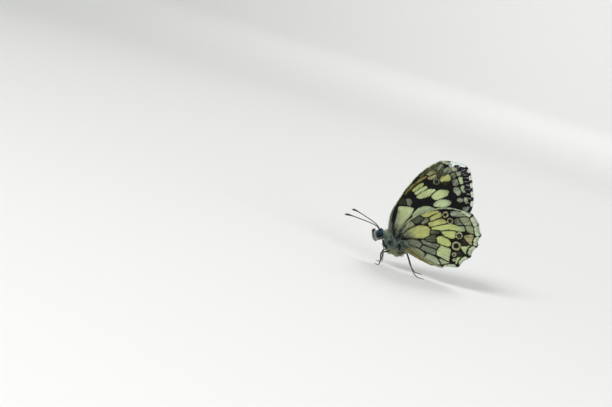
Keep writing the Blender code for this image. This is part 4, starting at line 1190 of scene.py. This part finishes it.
def laid_on_wing(key, side, start, stop, rng, wild):
    """Roots and directions of hair between places of a wing's chart, wild being how far each end strays."""
    root = wing_world(key, start, side, rng.normal(size=len(start)) * wild[0])
    return root, wing_world(key, stop, side, rng.normal(size=len(start)) * wild[1]) - root


def inner_margin_hair(material):
    """Soft pale hair along the hindwings' hind edges, beside the abdomen."""
    line = wing_curves("hind")["hind"]
    rng = np.random.default_rng(SEEDS["inner_margin"])
    outward = turned(unit(np.gradient(line, axis=0)))
    count = settings("coat").fringe_tufts
    for word, side in SIDES.items():
        at = (0.12 + 0.88 * rng.random(count)) * (len(line) - 1)
        out = sample(outward, at)
        pick = sample(line, at) - out * (0.1 + 0.15 * rng.random(count))[:, None]
        root, lie = laid_on_wing("hind", side, pick, pick + out * 0.6 - turned(out) * 0.35, rng, (0.02, 0.15))
        length = np.linalg.norm(lie, axis=1) * (0.7 + 0.5 * rng.random(count))
        tint = np.where(rng.random(count)[:, None] < 0.75, linear((172, 170, 124)), linear((112, 108, 76)))
        hair_piece("hindwing_" + word + "_inner_hair", material, "inner_margin", root, lie,
                   length, 0.06, tint, tint * 1.1, bake_spot("hind", pick), 0.05)


def shoulder_hair(material):
    """Long grey hair along the front edges of the forewings' bases."""
    line = wing_curves("fore")["front"][:round(SHOULDER_MM / CURVE_STEP)]
    rng = np.random.default_rng(SEEDS["shoulder"])
    forward = unit(np.gradient(line, axis=0))
    count = settings("coat").base_tufts
    for word, side in SIDES.items():
        at = rng.random(count) ** 1.3 * (len(line) - 1)
        share = at / len(line)
        along = sample(forward, at)
        out = -turned(along)
        pick = sample(line, at) - out * (0.05 + 0.3 * rng.random(count))[:, None]
        reach = (1.9 - 1.1 * share) * (0.6 + 0.5 * rng.random(count))
        spread_out = (0.5 - 0.35 * share) * rng.random(count) + 0.12
        stop = pick + along * reach[:, None] + out * (reach * spread_out)[:, None]
        root, lie = laid_on_wing("fore", side, pick, stop, rng, (0.05, 0.25))
        pale = rng.random(count)[:, None] < 0.75
        base = np.where(pale, linear((94, 98, 84)), linear((36, 38, 34)))
        tip = np.where(pale, linear((148, 154, 132)), linear((52, 54, 46)))
        hair_piece("forewing_" + word + "_shoulder_hair", material, "shoulder", root, lie,
                   np.linalg.norm(lie, axis=1), 0.07, base, tip, bake_spot("fore", pick), 0.03)


def fringe(key, material):
    """Rows of narrow scales that stand past the wing's margin, chequered as the margin is."""
    wing, lines = WINGS[key], wing_curves(key)
    rng = np.random.default_rng(SEEDS["fringe"])
    count = settings("coat").fringe_tufts
    for word, side in SIDES.items():
        at = np.sort(rng.random(count)) * (len(lines["margin"]) - 1)
        rim, inward = sample(lines["margin"], at), sample(lines["inward"], at)
        pick = rim + inward * (wing["fringe"] + 0.12 + 0.12 * rng.random(count))[:, None]
        root, lie = laid_on_wing(key, side, pick, rim - inward * 0.08, rng, (0.02, 0.06))
        length = np.linalg.norm(lie, axis=1) * (0.85 + 0.25 * rng.random(count))
        edge, pale, dark = paint(key, rim + inward * 0.25)
        tint = np.where(edge[:, None] > 0, pale, dark)
        hair_piece(wing["node"] + word + "_fringe", material, "fringe", root, lie, length,
                   0.075, tint, tint, bake_spot(key, pick))


# Eyes
def eye_material():
    """Glossy facets, nearly black, with a painted blue reflection of the sky over their upper part."""
    nodes = Nodes("compound_eye")
    place = nodes.place()
    facets = nodes.add("ShaderNodeTexVoronoi", {"Vector": place, "Scale": 18000.0}).outputs["Distance"]
    height = nodes.add("ShaderNodeSeparateXYZ", {0: place}).outputs["Z"]
    # Painted reflection: above a set height the eye's colour turns blue, standing for the sky mirrored in its
    # upper part.
    dark, blue = (*linear((18, 8, 18)), 1.0), (*linear((3, 42, 70)), 1.0)
    nodes.colour(nodes.mix(nodes.stretch(height, 0.0077, 0.0086), dark, blue))
    nodes.bump(facets, 0.5, 0.00002)
    return nodes.set(Roughness=0.35, Specular_IOR_Level=0.12, Coat_Weight=0.12, Coat_Roughness=0.06)


def build_eye(word, side, material):
    shape = bmesh.new()
    ellipsoid(shape, (EYE_CENTRE[0], side * EYE_OUT, EYE_CENTRE[1]), EYE_HALF, EYE_TILT, 64, 40)
    name = "eye_" + word + "_facets"
    add_piece(name, mesh_from_bmesh(name, shape), material, ["eye_" + word])


# Tubes
def tube_line(points, radii, side, step):
    """Rows x, y, z and radius along a tube of one side, in millimetres."""
    return spline([(x - CENTRE_X, side * y, z, r) for (x, y, z), r in zip(points, radii)], step)


def add_tube(shape, line, sides=12):
    """Adds a closed tube to the bmesh: a disc extruded ring by ring along the line."""
    up = Vector((0.0, 0.0, 1.0))
    made = bmesh.ops.create_circle(shape, cap_ends=True, radius=1.0, segments=sides)
    face = made["verts"][0].link_faces[0]
    flat = [loop.vert.co.copy() for loop in face.loops]
    for index, (row, way) in enumerate(zip(line, np.gradient(line[:, :3], axis=0))):
        ahead = Vector(way).normalized()
        up = (up - ahead * up.dot(ahead)).normalized()
        turn = Matrix((up, ahead.cross(up), ahead)).transposed()
        if index:
            grown = bmesh.ops.extrude_face_region(shape, geom=[face])
            # The first disc stays as the tube's near cap. The later ones would be walls inside it.
            if index > 1 and face.is_valid:
                bmesh.ops.delete(shape, geom=[face], context="FACES_ONLY")
            face = next(part for part in grown["geom"] if isinstance(part, bmesh.types.BMFace))
        for loop, place in zip(face.loops, flat):
            loop.vert.co = (turn @ (place * row[3]) + Vector(row[:3])) * MM


def tube_piece(name, lines, tint_of, material, replaced, sides=12):
    shape = bmesh.new()
    for line in lines:
        add_tube(shape, line, sides)
    bmesh.ops.recalc_face_normals(shape, faces=shape.faces)
    mesh = mesh_from_bmesh(name, shape)
    put_colour(mesh, "tint", tint_of(get_points(mesh) / MM))
    add_piece(name, mesh, material, [replaced])


def near_on(points, line):
    """How far along a tube's line the nearest place to each point lies, and how long the line is."""
    reach = reach_along(line)
    return np.interp(to_line(points, line[:, :3])[1], np.arange(len(reach)), reach), reach[-1]


def build_antenna(word, side, material):
    """A thin ringed stalk, dark with a pale band on each ring, and a dark club with a brown tip."""
    facts = settings("limbs")
    line = tube_line(*ANTENNA, side, 0.09)
    ring = facts.ring_length / MM
    line[:, 3] *= 0.9 + 0.14 * np.abs(np.sin(math.pi * reach_along(line) / ring)) ** 0.5
    line[:, 3] *= facts.thickness

    def tint(points):
        at, total = near_on(points, line)
        shade = blend(linear((24, 19, 12)), linear((118, 110, 84)), smoothstep(0.74, 0.92, (at / ring) % 1.0))
        shade = blend(shade, linear((20, 17, 15)), smoothstep(total - 3.0, total - 2.2, at))
        return blend(shade, linear((112, 78, 40)), smoothstep(total - 0.7, total - 0.2, at))

    tube_piece("antenna_" + word + "_rings", [line], tint, material, "antenna_" + word)


def build_palp(number, word, side, skin, hair):
    """A thin core with long hair, dark in front and pale towards the eye, drawn anew for each palp."""
    facts = settings("coat")
    line = tube_line(*PALP, side, 0.1)
    tint = functools.partial(one_tint, (96, 102, 88))
    tube_piece("palp_" + word + "_core", [line], tint, skin, "palp_" + word)
    rng = np.random.default_rng(SEEDS["palp"] + number)
    count = facts.palp_tufts
    at = rng.random(count) * (len(line) - 1)
    middle = sample(line, at)
    way = unit(sample(line, at + 1)[:, :3] - middle[:, :3] + 1e-6)
    around = unit(np.cross(way, rng.normal(size=(count, 3))))
    forward = np.clip(-around[:, 0] - 0.9 * around[:, 2], 0.0, 1.0)
    lie = way * (1.1 - 0.5 * forward)[:, None] + around * (0.35 + 0.7 * forward)[:, None]
    length = (0.46 + 0.36 * forward) * (0.7 + 0.5 * rng.random(count))
    dark, pale = linear((22, 22, 24)), linear((196, 204, 192))
    tip = blend(pale, dark, smoothstep(0.3, 0.6, forward))
    tip = blend(tip, dark, smoothstep(len(line) * 0.75, len(line) * 0.9, at))
    spot = np.stack([0.1 + at / len(line) * 0.3 + 0.4 * number, 0.5 + 0.3 * around[:, 1]], axis=1)
    root = middle[:, :3] + around * middle[:, 3:]
    hair_piece("palp_" + word + "_hair", hair, "palp", root, lie, length, facts.hair_width / MM * 0.8,
               tip, tip, spot)


def leg_scales(name, line, lengths, width, lift, tint, material):
    """Narrow scales round a leg that lie towards its foot; lengths is (distance along the leg, length)."""
    rng = np.random.default_rng(SEEDS["leg"])
    reach = reach_along(line)
    count = settings("coat").leg_tufts
    at = rng.random(count) ** 0.8 * (reach[-1] - 0.3)
    row = sample(line, at, reach)
    way = unit(sample(line, at + 0.05, reach)[:, :3] - row[:, :3])
    around = unit(np.cross(way, rng.normal(size=(count, 3))))
    length = np.interp(at, *lengths) * (0.7 + 0.6 * rng.random(count))
    root = row[:, :3] + around * (row[:, 3:] * 0.9)
    root[:, 2] = np.maximum(root[:, 2], 0.04)
    lie = way + around * lift
    lie[:, 2] = np.where(root[:, 2] < 0.3, np.maximum(lie[:, 2], 0.02), lie[:, 2])
    base = tint(root)
    shade = (0.6 + 0.9 * rng.random(count))[:, None]
    spot = np.stack([0.1 + 0.8 * at / reach[-1], 0.5 + 0.4 * around[:, 1]], axis=1)
    hair_piece(name, material, "leg", root, lie, length, width, base, base * shade, spot)


def shin_spurs(line, knee, side):
    """Short spines in two rows from the knee to the foot, which keep clear of the floor."""
    rng = np.random.default_rng(SEEDS["spurs"])
    reach = reach_along(line)
    spurs = []
    for k in range(SPURS):
        at = knee + (reach[-1] - knee) * (0.12 + 0.84 * (k + 0.3 * rng.random()) / SPURS)
        start, ahead = sample(line, np.array([at, at + 0.2]), reach)[:, :3]
        way = (ahead - start) / max(np.linalg.norm(ahead - start), 1e-6)
        out = np.cross(way, (0.0, 1.0, 0.0)) * (1 if k % 2 else -1) + np.array([0.0, side * 0.4, 0.0])
        if start[2] < 0.4:
            out[2] = abs(out[2]) * 0.3
        tip = start + (way * 0.8 + out * 0.7) * SPUR_LENGTH
        tip[2] = max(tip[2], 0.03)
        spurs.append(np.array([[*start, 0.03], [*((start + tip) / 2), 0.024], [*tip, 0.008]]))
    return spurs


def claws(line):
    """The two hooked claws at the end of a foot."""
    end = line[-1, :3]
    way = end - line[-6, :3]
    way[2] = 0.0
    way /= np.linalg.norm(way)
    hooks = []
    for turn in (-1.0, 1.0):
        across = np.array([-way[1], way[0], 0.0]) * turn
        bend = end + way * 0.14 + across * 0.07 + (0, 0, 0.02)
        tip = end + way * 0.26 + across * 0.11 - (0, 0, 0.05)
        hooks.append(np.array([[*(end - way * 0.06), 0.05], [*bend, 0.035], [*tip, 0.012]]))
    return hooks


def build_leg(node, word, side, material, hair):
    """Thigh, shin, the foot's joints and two claws, with spurs on the shin."""
    leg, facts = LEGS[node], settings("limbs")
    forward = leg["forward"] if side > 0 else 0.0
    stepped = [(x - forward * min(1.0, k / 4), y, z) for k, (x, y, z) in enumerate(leg["points"])]
    line = tube_line(stepped, leg["radii"], side, 0.12)
    reach = reach_along(line)
    knee, ankle = (reach[np.argmin(np.linalg.norm(line[:, :3] - (x - CENTRE_X, side * y, z), axis=1))]
                   for x, y, z in (stepped[joint] for joint in leg["joints"]))
    foot = (reach[-1] - ankle) / FOOT_JOINTS
    for at in [knee, ankle] + [ankle + foot * k for k in range(1, FOOT_JOINTS)]:
        line[:, 3] *= 1.0 - 0.32 * np.exp(-((reach - at) / 0.08) ** 2)
    line[:, 3] *= facts.thickness

    def tint(points):
        at, total = near_on(points, line)
        shade = blend(linear((56, 60, 55)), linear((28, 32, 33)), smoothstep(0.0, knee, at))
        shade = blend(shade, linear((54, 54, 46)), smoothstep(knee, knee + 1.5, at) * 0.8)
        return blend(shade, linear((42, 36, 28)), smoothstep(ankle, total, at))

    lines = [line] + shin_spurs(line, knee, side) + claws(line)
    tube_piece(node + word + "_joints", lines, tint, material, node + word, 10)
    lengths = ([0.0, knee, knee + 0.5, ankle, reach[-1]], [0.32, 0.22, 0.2, 0.15, 0.09])
    leg_scales(node + word + "_scales", line, lengths, 0.045, 0.25, tint, hair)


# Operators
class BUTTERFLY_OT_stage(bpy.types.Operator):
    """Make the pale floor with its curved back, the soft lamps and the camera"""

    bl_idname = "butterfly.stage"
    bl_label = "Stage"

    def execute(self, context):
        self.add_floor()
        self.add_lamps()
        self.add_sky(context)
        self.add_camera(context)
        return {"FINISHED"}

    def add_floor(self):
        """A flat floor that bends up into a wall, all in metres."""
        shape = bmesh.new()
        profile = [(-2.5, 0.0), (BEND_START, 0.0)]
        profile += [(BEND_START + BEND_RADIUS * math.sin(a), BEND_RADIUS - BEND_RADIUS * math.cos(a))
                    for a in np.linspace(0.1, math.pi / 2, 14)]
        profile.append((BEND_START + BEND_RADIUS, 2.6))
        verts = [shape.verts.new((-3.0, y, z)) for y, z in profile]
        edges = [shape.edges.new(pair) for pair in zip(verts, verts[1:])]
        grown = bmesh.ops.extrude_edge_only(shape, edges=edges)
        moved = [part for part in grown["geom"] if isinstance(part, bmesh.types.BMVert)]
        bmesh.ops.translate(shape, vec=(6.0, 0.0, 0.0), verts=moved)
        bmesh.ops.recalc_face_normals(shape, faces=shape.faces)
        floor = show(bpy.data.objects.new("floor", mesh_from_bmesh("floor", shape)))
        floor.data.shade_smooth()
        colour = (*settings("stage").floor_colour, 1.0)
        floor.data.materials.append(Nodes("pale_floor").set(Base_Color=colour, Roughness=0.9))

    def add_lamps(self):
        """Three soft lamps round the model, and one for the far floor and the wall."""
        facts = settings("stage")
        model, back = (0.0, 0.0, 0.015), (0.1, 1.65, 0.2)
        for name, place, aim, size, power in (("key", (-0.35, -0.5, 0.55), model, 0.4, facts.key_power),
                                              ("fill", (0.55, -0.55, 0.25), model, 0.5, facts.fill_power),
                                              ("rim", (0.1, 0.5, 0.6), model, 0.4, facts.rim_power),
                                              ("back", (0.1, 0.85, 0.65), back, 0.65, facts.back_power)):
            lamp = bpy.data.lights.new(name, "AREA")
            lamp.shape = "DISK"
            lamp.size = size
            lamp.energy = power
            item = show(bpy.data.objects.new(name, lamp))
            item.location = place
            item.rotation_euler = (Vector(aim) - Vector(place)).to_track_quat("-Z", "Y").to_euler()

    def add_sky(self, context):
        """Even light from all round."""
        facts = settings("stage")
        world = bpy.data.worlds.new("studio")
        world.use_nodes = True
        sky = world.node_tree.nodes["Background"].inputs
        sky["Color"].default_value = (*facts.sky_colour, 1.0)
        sky["Strength"].default_value = facts.sky_power
        context.scene.world = world
        context.scene.view_settings.view_transform = "Standard"

    def add_camera(self, context):
        """The photo's view, turned with the model so that its feet stand on the level floor."""
        azimuth, down, roll = (math.radians(a) for a in (VIEW_AZIMUTH_DEG, VIEW_DOWN_DEG, VIEW_ROLL_DEG))
        level = Vector((-math.sin(azimuth), math.cos(azimuth), 0.0))
        ahead = level * math.cos(down) - Vector((0.0, 0.0, math.sin(down)))
        right = Vector((math.cos(azimuth), math.sin(azimuth), 0.0))
        up = right.cross(ahead)
        right, up = (right * math.cos(roll) + up * math.sin(roll),
                     up * math.cos(roll) - right * math.sin(roll))
        aim = Vector((AIM_MM[0] - CENTRE_X, AIM_MM[1], AIM_MM[2]))
        away = LENS / SENSOR * PICTURE_MM_PER_PX * PICTURE[0]
        place = aim - right * (AIM_PX[0] - PICTURE[0] / 2) * PICTURE_MM_PER_PX
        place += up * (AIM_PX[1] - PICTURE[1] / 2) * PICTURE_MM_PER_PX - ahead * away
        data = bpy.data.cameras.new("camera")
        data.lens, data.sensor_width = LENS, SENSOR
        data.clip_start, data.clip_end = 0.01, 20.0
        camera = show(bpy.data.objects.new("camera", data))
        turn = Matrix((right, up, -ahead)).transposed().to_4x4()
        camera.matrix_world = Matrix.Translation(place * MM) @ turn
        context.scene.camera = camera


class BUTTERFLY_OT_wings(bpy.types.Operator):
    """Make the four wings with their veins and markings, and the fringes along their margins"""

    bl_idname = "butterfly.wings"
    bl_label = "Wings"

    def execute(self, context):
        scales = wing_material("wing_scales")
        cilia = tinted("fringe_scales", 0.85, Specular_IOR_Level=0.15, Sheen_Weight=0.04)
        for key in WINGS:
            for word in SIDES:
                build_wing(key, word, scales)
            fringe(key, cilia)
        inner_margin_hair(cilia)
        shoulder_hair(cilia)
        return {"FINISHED"}


class BUTTERFLY_OT_body(bpy.types.Operator):
    """Make the skin of head, thorax and abdomen"""

    bl_idname = "butterfly.body"
    bl_label = "Body skin"

    def execute(self, context):
        mesh = skin_mesh()
        points = get_points(mesh) / MM
        put_colour(mesh, "tint", body_tint(points))
        corner = loop_vertices(mesh)
        uv = body_uv(points)[corner]
        starts, sizes = face_corners(mesh)
        wide = np.maximum.reduceat(uv[:, 0], starts) - np.minimum.reduceat(uv[:, 0], starts) > 0.5
        crossing = np.repeat(wide, sizes) & (uv[:, 0] < 0.5)
        uv[crossing, 0] += 1.0
        put_uv(mesh, "OFBake", uv * np.array([0.95, 0.99]))
        scales = tinted("short_scales", 0.85, 7000.0, 0.6, Specular_IOR_Level=0.2, Sheen_Weight=0.06)
        add_piece("body_skin", mesh, scales, ("thorax", "head", "abdomen"))
        return {"FINISHED"}


class BUTTERFLY_OT_coat(bpy.types.Operator):
    """Make the hair of thorax, head and abdomen and over the wing bases"""

    bl_idname = "butterfly.coat"
    bl_label = "Coat"

    def execute(self, context):
        material = tinted("long_hair", 0.75, 20000.0, 0.2, Specular_IOR_Level=0.2, Sheen_Weight=0.06)
        for make in (coat_thorax, coat_collar, coat_head, coat_abdomen, coat_wing_bases):
            make(material)
        return {"FINISHED"}


class BUTTERFLY_OT_eyes(bpy.types.Operator):
    """Make the two glossy compound eyes"""

    bl_idname = "butterfly.eyes"
    bl_label = "Eyes"

    def execute(self, context):
        facets = eye_material()
        for word, side in SIDES.items():
            build_eye(word, side, facets)
        return {"FINISHED"}


class BUTTERFLY_OT_mouth(bpy.types.Operator):
    """Make the palps with their hair, and the tongue"""

    bl_idname = "butterfly.mouth"
    bl_label = "Palps and tongue"

    def execute(self, context):
        skin = tinted("palp_scales", 0.85)
        hair = tinted("palp_hair", 0.8, 20000.0, 0.2, Specular_IOR_Level=0.15, Sheen_Weight=0.04)
        for number, (word, side) in enumerate(SIDES.items()):
            build_palp(number, word, side, skin, hair)
        horn = tinted("tongue_rings", 0.45, 12000.0, 0.2)
        tongue = tube_line(*PROBOSCIS, 1.0, 0.1)
        tint = functools.partial(one_tint, (92, 76, 66))
        tube_piece("proboscis_tube", [tongue], tint, horn, "proboscis")
        return {"FINISHED"}


class BUTTERFLY_OT_antennae(bpy.types.Operator):
    """Make the two ringed antennae with their dark clubs"""

    bl_idname = "butterfly.antennae"
    bl_label = "Antennae"

    def execute(self, context):
        horn = tinted("antenna_horn", 0.55, 15000.0, 0.15)
        for word, side in SIDES.items():
            build_antenna(word, side, horn)
        return {"FINISHED"}


class BUTTERFLY_OT_legs(bpy.types.Operator):
    """Make the walking legs and the small folded forelegs"""

    bl_idname = "butterfly.legs"
    bl_label = "Legs"

    def execute(self, context):
        horn = tinted("leg_horn", 0.6, 15000.0, 0.3)
        hair = tinted("leg_scales", 0.8, 20000.0, 0.2, Specular_IOR_Level=0.3)
        for word, side in SIDES.items():
            for node in LEGS:
                build_leg(node, word, side, horn, hair)
            line = tube_line(*FORELEG, side, 0.12)
            dark = functools.partial(one_tint, (34, 38, 38))
            tube_piece("foreleg_" + word + "_core", [line], dark, horn, "foreleg_" + word)
            leg_scales("foreleg_" + word + "_brush", line, ([0.0, 2.4], [0.5, 0.36]), 0.07, 0.35, dark, hair)
        return {"FINISHED"}


# Settings
def length_prop(name, description, default):
    return bpy.props.FloatProperty(name=name, description=description, default=default, min=0.0, precision=6,
                                   unit="LENGTH")


def count_prop(name, description, default):
    return bpy.props.IntProperty(name=name, description=description, default=default, min=1)


def power_prop(name, description, default):
    return bpy.props.FloatProperty(name=name, description=description, default=default, unit="POWER")


def colour_prop(name, description, default):
    return bpy.props.FloatVectorProperty(name=name, description=description, subtype="COLOR", default=default,
                                         min=0.0, max=1.0)


class ButterflyWings(bpy.types.PropertyGroup):
    """Sizes of the wings"""

    half_thickness: length_prop("Half thickness", "Half the thickness of the membrane between veins", 0.00005)
    vein_height: length_prop("Vein height", "How far a vein stands out on each face", 0.00008)
    rows: bpy.props.FloatProperty(name="Scale rows", description="How fine the rows of scales are",
                                  default=85.0)


class ButterflyCoat(bpy.types.PropertyGroup):
    """Sizes and numbers of the hair"""

    skin_cell: length_prop("Skin cell", "Size of the cells that the skin is made from", 0.00009)
    hair_width: length_prop("Hair width", "Width of a tuft at its root", 0.00007)
    thorax_length: length_prop("Thorax hair", "Length of the hair on the thorax", 0.0010)
    thorax_tufts: count_prop("Thorax tufts", "Number of tufts on the thorax", 9000)
    collar_tufts: count_prop("Collar tufts", "Number of long tufts in front of the wings", 1500)
    head_tufts: count_prop("Head tufts", "Number of tufts on the head", 2600)
    abdomen_tufts: count_prop("Abdomen tufts", "Number of flat tufts on the abdomen", 6000)
    base_tufts: count_prop("Wing base tufts", "Number of tufts over each wing's base", 900)
    fringe_tufts: count_prop("Fringe scales", "Number of scales along each wing's margin", 1100)
    leg_tufts: count_prop("Leg scales", "Number of narrow scales on each leg", 900)
    palp_tufts: count_prop("Palp tufts", "Number of tufts on each palp", 700)


class ButterflyLimbs(bpy.types.PropertyGroup):
    """Sizes of antennae and legs"""

    thickness: bpy.props.FloatProperty(name="Thickness", description="Scales how thick antennae and legs are",
                                       default=1.0, min=0.5, max=2.0)
    ring_length: length_prop("Antenna ring", "Length of one ring of an antenna", 0.00032)


class ButterflyStage(bpy.types.PropertyGroup):
    """Floor and light"""

    floor_colour: colour_prop("Floor", "Colour of floor and back", (0.74, 0.74, 0.72))
    sky_colour: colour_prop("Sky", "Colour of the light from all round", (0.95, 0.98, 1.0))
    sky_power: bpy.props.FloatProperty(name="Sky strength", description="Light from all round", default=0.42)
    key_power: power_prop("Key", "Power of the main lamp", 4.2)
    fill_power: power_prop("Fill", "Power of the fill lamp", 2.2)
    rim_power: power_prop("Rim", "Power of the lamp behind", 2.2)
    back_power: power_prop("Back", "Power of the lamp on the curved back", 4.2)


WINGS = {"fore": FOREWING, "hind": HINDWING}
GROUPS = {"wings": ButterflyWings, "coat": ButterflyCoat, "limbs": ButterflyLimbs, "stage": ButterflyStage}
OPERATORS = (BUTTERFLY_OT_stage, BUTTERFLY_OT_wings, BUTTERFLY_OT_body, BUTTERFLY_OT_coat, BUTTERFLY_OT_eyes,
             BUTTERFLY_OT_mouth, BUTTERFLY_OT_antennae, BUTTERFLY_OT_legs)


class BUTTERFLY_PT_panel(bpy.types.Panel):
    """Settings and steps of the butterfly"""

    bl_idname = "BUTTERFLY_PT_panel"
    bl_label = "Butterfly"
    bl_space_type = "VIEW_3D"
    bl_region_type = "UI"
    bl_category = "Butterfly"

    def draw(self, context):
        for name in GROUPS:
            box = self.layout.box()
            box.label(text=name.capitalize())
            for prop in settings(name).bl_rna.properties:
                if prop.identifier not in ("rna_type", "name"):
                    box.prop(settings(name), prop.identifier)
        for operator in OPERATORS:
            self.layout.operator(operator.bl_idname)


def register():
    for cls in (*GROUPS.values(), *OPERATORS, BUTTERFLY_PT_panel):
        bpy.utils.register_class(cls)
    for name, group in GROUPS.items():
        setattr(bpy.types.Scene, "butterfly_" + name, bpy.props.PointerProperty(type=group))


def unregister():
    for name in GROUPS:
        delattr(bpy.types.Scene, "butterfly_" + name)
    for cls in reversed((*GROUPS.values(), *OPERATORS, BUTTERFLY_PT_panel)):
        bpy.utils.unregister_class(cls)


def main():
    register()
    for operator in OPERATORS:
        group, name = operator.bl_idname.split(".")
        getattr(getattr(bpy.ops, group), name)()


if __name__ == "__main__":
    main()
